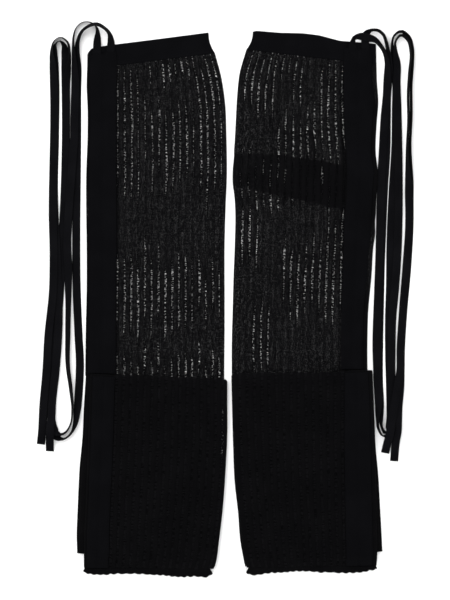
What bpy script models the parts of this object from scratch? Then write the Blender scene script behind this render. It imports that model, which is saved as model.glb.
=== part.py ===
"""A pair of long footless rib-knit leg warmers with ties, laid flat side by side.

Each leg is one knitted tube with a plain top band, a channel strip of two tunnels down its
front, a wavy hem and two tapes. It lies flat, goes down, folds back up and comes down again,
so its lower third is three tubes thick. Up the page is +Y, the surface is z = 0 and every
length below is in millimetres until a mesh is made.
"""
import math
from collections import namedtuple

import bmesh
import bpy
import numpy as np

METRES = 0.001  # one millimetre

# Cloth
WALL = 1.1  # one thickness of the knit
GAP = 0.3  # clearance between two layers or two pieces
FLAT = 2 * WALL + GAP  # a tube lying flat
RIB_RISE = 0.5  # how far a rib stands above the ladders beside it
RIB_SHOULDER = 0.2  # from a ladder to the rib's full height, in rib repeats
TUNNEL_RISE = 0.8  # how far a tunnel stands above the strip's stitched edges
BLACK_KNIT = (0.012, 0.012, 0.014, 1.0)
BLACK_PLAIN = (0.015, 0.015, 0.018, 1.0)

# The folded lower third: two hidden tubes below, the cuff on top
CORE_HEIGHT = 2 * FLAT + GAP
CUFF_REST = CORE_HEIGHT + GAP  # underside of the cuff where it lies on the core
CUFF_TOP = CUFF_REST + FLAT
NOSE_LOW = FLAT + RIB_RISE + GAP  # underside of the cuff's rolled upper fold
NOSE_DEPTH = 2.4
NOSE_BACK = 3.0  # from the fold's edge back to where the core begins
LAYER_STEP = 2.7  # how far the upper hidden tube lies inside the lower one
DRAPE_REACH = 12.0  # from the core's edge to where the cuff touches the surface

# Hem, band and tuck
HEM_LENGTH = 6.0
HEM_WAVES = 18
HEM_SCALLOP = 1.1
HEM_RIPPLE = 0.7
MOUTH_SHARE = 0.5  # the tunnels' mouths, as a share of the band's height
TUCK_LIFT = 2.3  # how far the front wall rises over the tuck
TUCK_INSET = 2.9

# Tapes
TAPE_WIDTH = 8.9
TAPE_THICK = 0.9
TAPE_REST = 0.05  # clearance below a tape
TAPE_RINGS = 80
FINE_STEPS = 1600  # steps along a route, of which the rings are chosen
RUN_PER_RING = 70  # straight tape that takes one ring
RINGS_PER_SWING = 3  # rings for each radian of bend
RINGS_PER_TWIST = 2.5  # rings for each radian of twist

# A row crosses the leg from its outer side, where the channel strip is, to its inner side.
# strip_x is the strip's inner edge, lift is how far the front wall rises.
Row = namedtuple("Row", "outer_x outer_y inner_x inner_y strip_x lift")

LEFT_PANEL = (
    Row(-156.0, 257.0, -16.5, 274.5, -122.5, 0),
    Row(-156.5, 239.0, -10.0, 250.0, -123.5, 0),
    Row(-155.5, 215.0, -5.5, 220.5, -123.5, 0),
    Row(-155.5, 182.0, -4.0, 184.0, -123.5, 0),
    Row(-157.0, 141.0, -3.5, 141.0, -123.5, 0),
    Row(-157.0, 102.5, -5.0, 102.5, -123.5, 0),
    Row(-156.5, 63.0, -6.0, 63.0, -123.5, 0),
    Row(-156.5, 14.5, -6.0, 14.5, -124.0, 0),
    Row(-157.5, -29.5, -6.0, -29.5, -124.0, 0),
    Row(-158.0, -79.5, -6.5, -85.5, -124.0, 0),
)
LEFT_CORE = (
    Row(-158.0, -80.5, -7.0, -86.5, -124.0, 0),
    Row(-160.0, -112.0, -8.0, -117.5, -124.0, 0),
    Row(-161.5, -145.0, -9.0, -156.0, -124.0, 0),
    Row(-165.0, -183.5, -9.5, -205.5, -124.0, 0),
    Row(-167.0, -227.5, -12.5, -240.5, -124.0, 0),
    Row(-168.0, -255.0, -14.0, -266.0, -124.0, 0),
    Row(-167.5, -274.5, -15.5, -288.5, -124.0, 0),
)
LEFT_CUFF = (
    Row(-152.0, -77.0, -3.0, -83.0, -124.5, 0),
    Row(-153.0, -106.5, -3.0, -108.5, -125.5, 0),
    Row(-154.0, -139.5, -3.0, -142.5, -126.5, 0),
    Row(-155.5, -181.0, -5.0, -185.0, -128.0, 0),
    Row(-157.0, -220.0, -8.0, -226.0, -130.0, 0),
    Row(-158.5, -252.0, -12.0, -260.0, -131.0, 0),
    Row(-159.0, -275.0, -15.5, -284.5, -131.5, 0),
    Row(-159.3, -280.0, -16.3, -286.8, -132.0, 0),
    Row(-159.5, -285.0, -17.0, -288.8, -132.0, 0),
    Row(-159.5, -290.5, -18.0, -291.0, -132.0, 0),
)
LEFT_TOP_EDGE = (  # the band's upper edge, from the outer side to the inner side
    (-155.8, 274.0), (-154.0, 278.5), (-148.0, 281.2), (-131.5, 283.7),
    (-76.0, 290.7), (-23.5, 297.5),
)
RIGHT_PANEL = (
    Row(161.0, 262.0, 19.0, 278.5, 126.5, 0),
    Row(161.5, 243.5, 12.0, 254.5, 127.0, 0),
    Row(163.0, 221.5, 9.0, 229.0, 127.5, 0),
    Row(161.0, 195.0, 7.5, 201.5, 127.5, 0),
    Row(160.5, 161.0, 6.0, 174.5, 128.0, 0),
    Row(161.5, 153.0, 5.5, 168.5, 128.0, 0),
    Row(162.5, 146.0, 5.5, 163.0, 128.0, TUCK_LIFT),
    Row(161.0, 121.0, 4.0, 145.0, 128.0, TUCK_LIFT),
    Row(160.0, 98.0, 4.5, 127.0, 128.0, TUCK_LIFT),
    Row(159.5, 91.0, 5.5, 121.0, 127.5, 0),
    Row(159.5, 76.0, 7.0, 97.0, 127.5, 0),
    Row(157.5, 62.0, 6.5, 69.5, 126.5, 0),
    Row(155.5, 30.0, 5.0, 30.0, 124.0, 0),
    Row(152.0, -7.5, 4.0, -7.5, 122.0, 0),
    Row(151.0, -46.0, 3.0, -46.0, 121.5, 0),
    Row(151.0, -78.0, 3.0, -79.5, 121.5, 0),
)
RIGHT_CORE = (
    Row(153.5, -79.0, 2.0, -80.5, 121.5, 0),
    Row(159.0, -122.0, 3.0, -122.0, 121.5, 0),
    Row(160.5, -156.0, 4.0, -158.0, 121.5, 0),
    Row(163.5, -189.0, 5.5, -194.0, 121.5, 0),
    Row(165.5, -225.0, 9.5, -231.0, 121.5, 0),
    Row(167.0, -252.0, 12.0, -262.0, 121.5, 0),
    Row(168.0, -272.5, 17.0, -289.0, 121.5, 0),
)
RIGHT_CUFF = (
    Row(156.0, -75.5, 3.5, -77.0, 125.0, 0),
    Row(158.0, -117.5, 4.5, -119.5, 125.0, 0),
    Row(159.0, -155.0, 6.0, -158.0, 125.0, 0),
    Row(159.5, -188.0, 7.5, -193.0, 125.5, 0),
    Row(160.5, -222.0, 11.0, -229.0, 126.0, 0),
    Row(161.0, -250.0, 14.5, -262.0, 126.5, 0),
    Row(161.5, -272.5, 17.8, -284.5, 127.0, 0),
    Row(161.5, -277.5, 18.4, -286.5, 127.0, 0),
    Row(161.5, -282.5, 19.0, -288.0, 127.0, 0),
    Row(161.0, -288.0, 19.5, -289.5, 127.0, 0),
)
RIGHT_TOP_EDGE = (
    (160.5, 285.0), (146.0, 286.5), (121.0, 288.5), (98.5, 294.5),
    (81.0, 296.7), (55.5, 297.3), (29.0, 299.5), (26.0, 298.5),
)

# A tape's route: x, y, the height of what it lies on, and its turn in degrees, which is 0
# where it lies flat and 90 where it stands on its edge with its left side up.
LEFT_TIE_A = (
    (-145.5, 272.0, 2.8, 0), (-145.5, 279.0, 2.8, 0), (-145.0, 288.5, 2.2, 30), (-144.5, 297.5, 0.6, 66),
    (-146.0, 303.5, 0.0, 80), (-153.0, 308.5, 0.0, 80), (-161.0, 308.5, 0.0, 80), (-168.0, 303.0, 0.0, 80),
    (-171.0, 294.0, 0.0, 76), (-171.5, 281.0, 0.0, 68), (-170.5, 265.5, 0.9, 48), (-169.5, 245.5, 1.2, 18),
    (-170.0, 218.0, 1.2, 0), (-170.5, 196.0, 1.8, 0), (-170.5, 184.0, 2.5, 0), (-171.5, 169.5, 2.5, 0),
    (-173.0, 149.0, 2.5, 0), (-177.0, 94.0, 2.5, 0), (-178.0, 58.5, 2.5, 2), (-177.0, 41.0, 2.5, 4),
    (-177.0, 23.5, 1.7, 20), (-177.0, 3.5, 0.0, 38), (-177.5, -35.0, 0.0, 46), (-177.5, -68.0, 0.0, 54),
    (-174.0, -95.5, 0.0, 60), (-172.5, -117.5, 0.0, 74), (-175.0, -134.0, 0.0, 80),
    (-180.5, -142.0, 0.0, 80), (-186.0, -144.0, 0.1, 76), (-190.0, -142.0, 2.3, 45),
    (-193.5, -136.0, 2.2, 12), (-195.5, -128.5, 1.5, 3), (-196.5, -119.5, 1.2, 0), (-197.0, -102.0, 1.2, 0),
    (-194.0, -60.0, 1.2, 0), (-188.0, -9.5, 1.2, 0), (-184.5, 53.0, 1.2, 0), (-181.5, 113.5, 1.2, 0),
    (-180.0, 168.5, 1.2, 0), (-179.5, 215.0, 1.4, 3), (-179.0, 241.0, 1.5, 26), (-176.5, 259.0, 0.8, 60),
    (-175.5, 275.5, 0.0, 80), (-178.0, 287.0, 0.0, 80), (-185.5, 292.0, 0.0, 80), (-192.5, 288.0, 0.0, 78),
    (-195.0, 278.5, 0.2, 66), (-194.0, 263.0, 1.3, 34), (-193.0, 243.5, 1.9, 9), (-192.5, 212.5, 1.4, 0),
    (-193.5, 152.0, 1.3, 0), (-194.0, 120.0, 2.3, 0), (-194.0, 100.5, 3.8, 0), (-193.0, 53.0, 3.8, 0),
    (-194.5, 3.5, 3.8, 0), (-196.5, -14.0, 3.8, 0), (-198.5, -31.5, 3.2, 0), (-201.0, -73.5, 2.6, 0),
    (-204.5, -115.0, 2.9, 0), (-206.0, -141.5, 1.6, 0), (-207.5, -155.0, 0.2, 0),
)
LEFT_TIE_B = (
    (-131.0, 273.5, 2.8, 0), (-130.5, 279.0, 2.8, 0), (-130.0, 287.5, 2.8, 36), (-132.0, 296.0, 4.4, 62),
    (-137.5, 301.5, 7.8, 62), (-145.5, 305.0, 9.6, 58), (-154.0, 303.0, 7.9, 60), (-161.5, 298.0, 4.0, 62),
    (-166.0, 289.0, 1.0, 58), (-167.5, 276.5, 0.1, 44), (-167.0, 259.0, 0.0, 12), (-167.5, 234.5, 0.0, 0),
    (-167.5, 190.5, 0.0, 0), (-168.0, 135.5, 0.0, 0), (-168.5, 75.0, 0.0, 0), (-168.0, 14.5, 0.0, 0),
    (-166.0, -35.0, 0.0, 0), (-164.5, -68.0, 0.0, 0), (-166.0, -101.0, 0.0, 2), (-167.5, -118.5, 0.0, 22),
    (-169.5, -133.0, 0.0, 54), (-175.0, -144.0, 0.0, 78), (-182.5, -149.0, 0.0, 80),
    (-189.5, -147.5, 0.0, 44), (-193.5, -140.5, 0.0, 6), (-196.5, -126.0, 0.0, 0), (-197.5, -104.0, 0.0, 0),
    (-194.0, -60.0, 0.0, 0), (-188.0, -9.5, 0.0, 0), (-184.5, 53.0, 0.0, 0), (-181.5, 113.5, 0.0, 0),
    (-180.0, 168.5, 0.0, 0), (-180.0, 223.5, 0.0, 0), (-180.5, 259.0, 0.0, 2), (-180.5, 274.0, 0.0, 22),
    (-182.0, 284.0, 0.0, 60), (-186.0, 288.0, 0.0, 80), (-190.5, 285.5, 0.0, 74), (-192.0, 277.0, 0.0, 44),
    (-192.0, 261.0, 0.0, 12), (-191.5, 237.0, 0.0, 0), (-192.0, 179.5, 0.0, 0), (-193.0, 122.5, 0.4, 0),
    (-192.0, 94.0, 2.5, 0), (-191.0, 75.0, 2.5, 0), (-189.5, 45.5, 2.5, 0), (-187.5, 3.5, 2.5, 0),
    (-188.0, -31.5, 2.5, 0), (-191.0, -73.5, 2.5, 0), (-195.0, -112.0, 2.6, 0), (-195.5, -126.0, 4.0, 0),
    (-196.5, -137.0, 7.7, 0), (-196.5, -144.5, 9.5, 0), (-197.0, -152.5, 5.8, 0), (-197.5, -162.5, 0.2, 0),
)
RIGHT_TIE_A = (
    (135.5, 278.0, 2.8, 0), (135.0, 280.5, 2.8, 8), (135.0, 286.0, 2.8, 40), (136.0, 290.0, 2.8, 62),
    (139.5, 292.0, 3.4, 58), (144.0, 292.5, 4.4, 32), (149.0, 292.0, 4.4, 12), (154.0, 290.5, 4.0, 34),
    (160.0, 288.5, 1.8, 58), (166.0, 282.5, 0.0, 72), (170.0, 276.0, 0.0, 70), (173.0, 265.5, 0.0, 58),
    (173.0, 250.0, 1.8, 38), (173.0, 232.5, 1.5, 8), (170.5, 204.0, 1.2, 0), (168.5, 168.5, 1.2, 0),
    (166.5, 128.0, 1.2, 0), (165.5, 83.0, 1.2, 0), (164.5, 45.5, 1.2, 0), (163.0, 3.5, 1.2, 0),
    (161.5, -46.0, 1.2, 0), (162.5, -82.0, 1.7, 2), (163.5, -111.0, 1.9, 32), (162.5, -126.0, 0.0, 70),
    (163.5, -138.0, 0.0, 80), (169.0, -146.0, 0.0, 76), (174.5, -144.5, 2.5, 46), (178.5, -136.0, 2.4, 12),
    (179.0, -119.5, 1.4, 0), (178.0, -93.0, 1.2, 0), (178.0, -51.5, 1.2, 0), (179.0, -16.0, 1.2, 0),
    (182.0, 17.0, 1.2, 0), (185.0, 64.0, 1.2, 0), (186.0, 124.5, 1.2, 0), (185.5, 174.0, 1.2, 0),
    (184.5, 215.0, 1.2, 0), (183.5, 243.5, 1.5, 0), (184.0, 263.0, 1.5, 22), (182.0, 278.0, 0.2, 58),
    (182.5, 288.0, 0.0, 78), (188.5, 294.5, 0.0, 80), (195.5, 289.5, 0.0, 80), (199.0, 276.5, 0.0, 80),
    (197.5, 254.5, 0.0, 80), (196.0, 229.0, 0.0, 80), (196.5, 204.0, 0.0, 80), (195.0, 168.5, 0.0, 78),
    (195.5, 144.5, 0.8, 60), (196.5, 131.0, 1.7, 34), (197.0, 118.0, 2.3, 8), (197.5, 89.5, 1.5, 0),
    (194.5, 41.0, 1.2, 0), (190.5, -9.5, 1.2, 0), (188.0, -51.5, 1.5, 0), (187.5, -75.5, 2.4, 0),
    (185.5, -85.5, 3.6, 0), (183.5, -97.5, 3.9, 0), (180.0, -117.5, 4.1, 0), (177.5, -129.5, 5.4, 0),
    (176.0, -138.5, 9.3, 0), (174.5, -146.0, 9.6, 0), (173.0, -153.5, 5.6, 0), (171.0, -164.5, 0.2, 0),
)
RIGHT_TIE_B = (
    (149.5, 276.0, 2.8, 0), (149.5, 279.0, 2.8, 0), (149.0, 284.0, 2.8, 0), (149.0, 288.5, 2.7, 0),
    (149.5, 292.0, 1.2, 6), (150.0, 295.5, 0.3, 26), (153.0, 298.5, 0.0, 62), (157.0, 300.0, 0.0, 80),
    (163.0, 299.5, 0.0, 80), (169.0, 294.5, 0.0, 80), (172.0, 286.5, 0.0, 76), (174.0, 276.5, 0.0, 68),
    (175.5, 265.5, 0.0, 52), (175.0, 250.0, 0.0, 30), (173.5, 232.5, 0.0, 2), (173.0, 204.0, 0.0, 0),
    (172.5, 168.5, 0.0, 0), (170.0, 128.0, 0.0, 0), (168.0, 83.0, 0.0, 0), (166.5, 45.5, 0.0, 0),
    (165.5, 3.5, 0.0, 0), (164.5, -46.0, 0.0, 0), (164.5, -90.0, 0.0, 0), (165.5, -111.0, 0.0, 18),
    (166.0, -126.0, 0.0, 58), (167.5, -137.0, 0.0, 80), (171.0, -142.0, 0.0, 62), (174.5, -140.0, 0.0, 20),
    (176.5, -131.5, 0.0, 4), (177.0, -115.0, 0.0, 0), (176.5, -90.0, 0.0, 0), (175.5, -51.5, 0.0, 0),
    (175.5, -16.0, 0.0, 0), (176.5, 17.0, 0.0, 0), (177.0, 64.0, 0.0, 0), (179.5, 124.5, 0.0, 0),
    (182.5, 174.0, 0.0, 0), (183.0, 215.0, 0.0, 0), (183.5, 241.0, 0.0, 0), (181.5, 261.0, 0.0, 8),
    (180.5, 273.0, 0.0, 32), (178.5, 284.0, 0.0, 68), (180.5, 293.5, 0.0, 80), (188.0, 298.5, 0.0, 80),
    (196.5, 293.0, 0.0, 80), (201.0, 279.5, 0.0, 80), (201.0, 263.0, 0.0, 80), (199.5, 241.0, 0.0, 80),
    (199.5, 206.0, 0.0, 80), (198.0, 168.5, 0.0, 76), (198.0, 144.5, 0.0, 48), (198.0, 131.0, 0.0, 20),
    (198.0, 120.0, 0.0, 6), (198.0, 89.5, 0.0, 0), (195.5, 41.0, 0.0, 0), (191.0, -9.5, 0.0, 0),
    (188.5, -51.5, 0.0, 0), (188.0, -75.5, 0.9, 0), (187.5, -92.0, 2.5, 0), (185.5, -115.0, 2.6, 0),
    (185.0, -128.5, 3.6, 0), (184.5, -139.5, 5.1, 0), (182.5, -152.5, 3.2, 0), (181.0, -173.5, 0.2, 0),
)

Leg = namedtuple("Leg", "side panel core cuff top_edge ribs strip_inset nose_step ties")
LEFT = Leg("left", LEFT_PANEL, LEFT_CORE, LEFT_CUFF, LEFT_TOP_EDGE, 15.5, 2.4, 0.0,
           (LEFT_TIE_A, LEFT_TIE_B))
RIGHT = Leg("right", RIGHT_PANEL, RIGHT_CORE, RIGHT_CUFF, RIGHT_TOP_EDGE, 14.85, 4.6, 2.6,
            (RIGHT_TIE_A, RIGHT_TIE_B))

# Where a ring has a point, from its outer side to its inner side
PLAIN_SHARES = (0.04, 0.12, 0.22, 0.4, 0.6, 0.78, 0.9, 0.955)
FLOOR_SHARES = (0.1, 0.35, 0.65, 0.9, 0.955)
STRIP_PROFILE = (  # share of the strip's width, share of the tunnels' height
    (0.0, 0.0), (0.07, 0.4), (0.17, 0.92), (0.33, 0.92), (0.43, 0.4), (0.5, 0.0),
    (0.57, 0.4), (0.67, 0.92), (0.83, 0.92), (0.93, 0.4), (1.0, 0.0),
)
SIDE_ANGLES = (50, 0, -50)  # points round a side fold, in degrees
SIDE_SHARE = 0.02  # no rib starts nearer to a side than this
STRIP_SHY = 1.0  # from the strip's inner edge to the first rib
BAND_WAIST = 2.0  # how far the band's inner end draws in
NOSE_ANGLES = (75, 45, 20, 0)  # rings round a rolled fold, in degrees


def clear_scene():
    for thing in list(bpy.data.objects):
        bpy.data.objects.remove(thing, do_unlink=True)


def knit(name, colour, roughness):
    """A matt black knit."""
    material = bpy.data.materials.new(name)
    material.use_nodes = True
    shader = material.node_tree.nodes["Principled BSDF"]
    shader.inputs["Base Color"].default_value = colour
    shader.inputs["Roughness"].default_value = roughness
    shader.inputs["Metallic"].default_value = 0.0
    return material


def blend(a, b, share):
    return a + (b - a) * share


def ease(share):
    """A soft step from 0 to 1."""
    share = min(1.0, max(0.0, share))
    return share * share * (3 - 2 * share)


def line(row):
    """The place on a row at a share of its width."""
    def place(share):
        return (blend(row.outer_x, row.inner_x, share), blend(row.outer_y, row.inner_y, share))
    return place


def shifted(place, step):
    """The same row, moved along the leg."""
    def moved(share):
        x, y = place(share)
        return x, y + (step(share) if callable(step) else step)
    return moved


def strip_share(row):
    return (row.strip_x - row.outer_x) / (row.inner_x - row.outer_x)


def rib_columns(row, ribs):
    """Shares and rises across a ribbed front: plain under the strip, then ladders and ribs."""
    start = strip_share(row)
    columns = [(start * 0.5, 0.0)]
    ladder = 0
    while ladder <= ribs:
        for step, rise in ((0, 0.0), (RIB_SHOULDER, RIB_RISE), (1 - RIB_SHOULDER, RIB_RISE)):
            if ladder + step < ribs - 0.1:
                columns.append((start + (1 - start) * (ladder + step) / ribs, rise))
        ladder += 1
    return columns


def ring(place, columns, low, high, inset=0.0):
    """One closed ring round a flattened tube.

    It goes over the top from the outer side to the inner side, round the side fold, back
    below and round the other fold. Each point comes with a mark from 0 to 4 for its place.
    """
    width = math.dist(place(0.0), place(1.0))
    fold = ((high(*place(0.0)) - low(*place(0.0))) / 2 + inset) / width
    edge = inset / width
    points = []
    marks = []

    def add(share, height, mark):
        x, y = place(share)
        bottom, top = low(x, y), high(x, y)
        points.append((x, y, bottom + (top - bottom) * height[0] + height[1]))
        marks.append(mark)

    inner = [c for c in columns if SIDE_SHARE < c[0] < 1 - SIDE_SHARE]
    for share, rise in [(fold, 0.0)] + inner:
        add(share, (1.0, rise), share)
    add(1 - fold, (1.0, 0.0), 1 - fold)
    for step, angle in enumerate(SIDE_ANGLES):
        turn = math.radians(angle)
        add(1 - edge - (fold - edge) * (1 - math.cos(turn)), (0.5 + 0.5 * math.sin(turn), 0.0),
            1 + step * 0.25)
    for share in (1 - fold,) + tuple(reversed(FLOOR_SHARES)) + (fold,):
        add(share, (0.0, 0.0), 3 - share)
    for step, angle in enumerate(SIDE_ANGLES):
        turn = math.radians(-angle)
        add(edge + (fold - edge) * (1 - math.cos(turn)), (0.5 + 0.5 * math.sin(turn), 0.0),
            3.1 + step * 0.25)
    return points, marks


def level(height):
    """The same height at every place."""
    return lambda x, y: height


def join_rings(rings, start):
    """Quads between rings that have as many points each."""
    count = len(rings[0][0])
    faces = []
    for index in range(len(rings) - 1):
        first = start + index * count
        for k in range(count):
            n = (k + 1) % count
            faces.append((first + k, first + n, first + count + n, first + count + k))
    return faces


def rim(outer, outer_marks, inner, inner_marks):
    """Triangles between a tube's outer ring and its hollow's ring, at an open end."""
    faces = []
    i = j = 0
    while i < len(outer) or j < len(inner):
        next_outer = outer_marks[i + 1] if i + 1 < len(outer) else 4.0 + (i >= len(outer))
        next_inner = inner_marks[j + 1] if j + 1 < len(inner) else 4.0 + (j >= len(inner))
        a, b = outer[i % len(outer)], inner[j % len(inner)]
        if next_outer <= next_inner:
            faces.append((a, outer[(i + 1) % len(outer)], b))
            i += 1
        else:
            faces.append((a, inner[(j + 1) % len(inner)], b))
            j += 1
    return faces


def cloth(name, material, rings, hollow=(), open_start=True):
    """An object from its rings. A hollow opens at the last ring, and at the first if asked."""
    points = [p for places, _ in list(rings) + list(hollow) for p in places]
    faces = join_rings(rings, 0)
    count = len(rings[0][0])
    last = (len(rings) - 1) * count
    if hollow:
        start = len(rings) * count
        inner = len(hollow[0][0])
        end = start + (len(hollow) - 1) * inner
        faces += join_rings(hollow, start)
        faces += rim(range(last, last + count), rings[-1][1], range(end, end + inner), hollow[-1][1])
        if open_start:
            faces += rim(range(count), rings[0][1], range(start, start + inner), hollow[0][1])
        else:
            faces += [tuple(range(count)), tuple(range(start, start + inner))]
    else:
        faces += [tuple(range(count)), tuple(range(last, last + count))]
    mesh = bpy.data.meshes.new(name)
    mesh.from_pydata([tuple(METRES * v for v in p) for p in points], [], faces)
    shape = bmesh.new()
    shape.from_mesh(mesh)
    bmesh.ops.recalc_face_normals(shape, faces=shape.faces)
    bmesh.ops.triangulate(shape, faces=[f for f in shape.faces if len(f.verts) > 3])
    shape.to_mesh(mesh)
    shape.free()
    mesh.materials.append(material)
    thing = bpy.data.objects.new(name, mesh)
    bpy.context.collection.objects.link(thing)
    return thing


def hollow_ring(place, low, high):
    """The inside of a flattened tube, plain."""
    columns = [(share, 0.0) for share in PLAIN_SHARES]
    return ring(place, columns, lambda x, y: low(x, y) + WALL, lambda x, y: high(x, y) - WALL,
                inset=WALL)


def leg_panel(leg, material):
    """The upper part of the rib tube, front and back wall on each other."""
    rings = []
    hollow = []
    for row in leg.panel:
        top = level(FLAT + row.lift)
        rings.append(ring(line(row), rib_columns(row, leg.ribs), level(0.0), top))
        hollow.append(hollow_ring(line(row), level(0.0), top))
    return cloth(leg.side + "_leg_panel", material, rings, hollow)


def edge_place(edge):
    """The place at a share of a width along a table of points."""
    xs = [p[0] for p in edge]
    order = sorted(range(len(edge)), key=lambda i: xs[i])

    def place(share):
        x = blend(xs[0], xs[-1], share)
        return x, float(np.interp(x, [edge[i][0] for i in order], [edge[i][1] for i in order]))
    return place


def band_place(leg, height):
    """A line across the top band, at a share of its height."""
    seam = line(leg.panel[0])
    top = edge_place(leg.top_edge)

    def place(share):
        (x0, y0), (x1, y1) = seam(share), top(share)
        waist = BAND_WAIST * math.sin(math.pi * height) * share * share
        inward = math.copysign(waist, leg.panel[0].outer_x - leg.panel[0].inner_x)
        return blend(x0, x1, height) + inward, blend(y0 + GAP, y1, height)
    return place


def top_band(leg, material):
    """The plain band, joined round the tube's upper end and open at the top."""
    shares = sorted(set(PLAIN_SHARES) | {0.02, 0.31, 0.5, 0.69, 0.96})
    rings = []
    hollow = []
    for height in (0.0, 0.3, 0.65, 1.0):
        place = band_place(leg, height)
        rings.append(ring(place, [(share, 0.0) for share in shares], level(0.0), level(FLAT)))
        hollow.append(hollow_ring(place, level(0.0), level(FLAT)))
    return cloth(leg.side + "_top_band", material, rings, hollow)


def strip_ring(place, start, end, low):
    """One ring of the channel strip: a flat underside and two tunnels above."""
    points = []
    for across, rise in STRIP_PROFILE:
        x, y = place(blend(start, end, across))
        points.append((x, y, low(x, y) + WALL + TUNNEL_RISE * rise))
    for across in (1.0, 0.5, 0.0):
        x, y = place(blend(start, end, across))
        points.append((x, y, low(x, y)))
    return points, None


def strip_span(leg, row):
    """Where the strip begins and ends on a row, just short of the first rib."""
    width = abs(row.inner_x - row.outer_x)
    return leg.strip_inset / width, strip_share(row) - STRIP_SHY / width


def upper_channel(leg, material):
    """The strip on the upper panel, from the mouths on the band down to the cuff's fold."""
    first = leg.panel[0]
    start, end = strip_span(leg, first)
    rings = [strip_ring(band_place(leg, height), start, end, level(FLAT + GAP))
             for height in (MOUTH_SHARE, 0.0)]
    for row in leg.panel[1:-1]:
        start, end = strip_span(leg, row)
        rings.append(strip_ring(line(row), start, end, level(FLAT + GAP + row.lift)))
    last = leg.panel[-1]
    start, end = strip_span(leg, last)
    stop = shifted(line(last), NOSE_BACK + leg.nose_step + 2 * GAP)
    rings.append(strip_ring(stop, start, end, level(FLAT + GAP)))
    return cloth(leg.side + "_channel", material, rings)


def core_ring(place, squash, top):
    """A ring round the two hidden tubes, with a groove between them at both sides."""
    width = math.dist(place(0.0), place(1.0))
    middle = CORE_HEIGHT / 2
    outline = []  # inset from the side, height: from the upper tube's top down to the floor
    for base, inset in ((FLAT + GAP, LAYER_STEP), (0.0, 0.0)):
        outline.append((inset + FLAT / 2, base + FLAT))
        for angle in SIDE_ANGLES:
            turn = math.radians(angle)
            outline.append((inset + FLAT / 2 * (1 - math.cos(turn)),
                            base + FLAT / 2 * (1 + math.sin(turn))))
        outline.append((inset + FLAT / 2, base))
    points = []

    def add(share, height):
        x, y = place(share)
        points.append((x, y, middle + (min(height, top) - middle) * squash))

    for share in (0.2, 0.4, 0.6, 0.8):
        add(share, CORE_HEIGHT)
    for inset, height in outline:
        add(1 - inset / width, height)
    for share in (0.8, 0.6, 0.4, 0.2):
        add(share, 0.0)
    for inset, height in reversed(outline):
        add(inset / width, height)
    return points, None


def folded_core(leg, material):
    """The tube gone down and folded back up, hidden by the cuff but for its edges."""
    first, last = leg.core[0], leg.core[-1]
    rings = [core_ring(line(first), 1.0, CORE_HEIGHT * 0.7),
             core_ring(shifted(line(first), -0.8), 1.0, CORE_HEIGHT * 0.93),
             core_ring(shifted(line(first), -2.2), 1.0, CORE_HEIGHT)]
    rings += [core_ring(line(row), 1.0, CORE_HEIGHT) for row in leg.core[1:-1]]
    for angle in reversed(NOSE_ANGLES):
        turn = math.radians(angle)
        back = NOSE_DEPTH * (1 - math.sin(turn))
        rings.append(core_ring(shifted(line(last), back), math.cos(turn), CORE_HEIGHT))
    return cloth(leg.side + "_folded_core", material, rings)


def drape(leg):
    """The height of what the cuff lies on: the core, and past its edges down to the surface."""
    heights = [row.inner_y for row in reversed(leg.core)]
    sides = [row.inner_x for row in reversed(leg.core)]
    last = leg.core[-1]
    inward = math.copysign(1.0, last.inner_x - last.outer_x)

    def height(x, y):
        share = (x - last.outer_x) / (last.inner_x - last.outer_x)
        below = max(0.0, blend(last.outer_y, last.inner_y, share) - y)
        beyond = max(0.0, (x - float(np.interp(y, heights, sides))) * inward)
        return CUFF_REST * (1 - ease(math.hypot(below, beyond) / DRAPE_REACH))
    return height


def cuff_panel(leg, material):
    """The tube come down again on top: a rolled fold above, open at the hem."""
    low = drape(leg)
    first = leg.cuff[0]
    middle = (NOSE_LOW + CUFF_TOP) / 2
    start = strip_share(first)
    columns = rib_columns(first, leg.ribs)

    def step(share):
        """The fold stands a little higher where the stiff strip goes over it."""
        return leg.nose_step * (1 - ease((share - start + 0.02) / 0.04))

    rings = []
    for angle in NOSE_ANGLES:
        turn = math.radians(angle)
        half = (CUFF_TOP - NOSE_LOW) / 2 * math.cos(turn)
        back = NOSE_DEPTH * (1 - math.sin(turn))
        place = shifted(line(first), lambda share, back=back: step(share) - back)
        soft = [(share, rise * math.cos(turn)) for share, rise in columns]
        rings.append(ring(place, soft, level(middle - half), level(middle + half)))
    rings.append(ring(shifted(line(first), -NOSE_BACK + 0.1), columns, level(NOSE_LOW),
                      lambda x, y: low(x, y) + FLAT))
    rings.append(ring(shifted(line(first), -NOSE_BACK - 0.1), columns, low,
                      lambda x, y: low(x, y) + FLAT))
    hollow = [hollow_ring(shifted(line(first), -2 * NOSE_BACK), low,
                          lambda x, y: low(x, y) + FLAT)]
    for row in leg.cuff[1:]:
        rings.append(ring(line(row), rib_columns(row, leg.ribs), low,
                          lambda x, y: low(x, y) + FLAT))
        hollow.append(hollow_ring(line(row), low, lambda x, y: low(x, y) + FLAT))
    return cloth(leg.side + "_cuff_panel", material, rings, hollow, open_start=False)


def cuff_channel(leg, material):
    """The strip again, on the cuff."""
    low = drape(leg)
    rings = []
    first = leg.cuff[0]
    start, end = strip_span(leg, first)
    rings.append(strip_ring(shifted(line(first), -NOSE_DEPTH), start, end,
                            lambda x, y: low(x, y) + FLAT + GAP))
    for row in leg.cuff[1:]:
        start, end = strip_span(leg, row)
        rings.append(strip_ring(line(row), start, end, lambda x, y: low(x, y) + FLAT + GAP))
    return cloth(leg.side + "_cuff_channel", material, rings)


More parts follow.
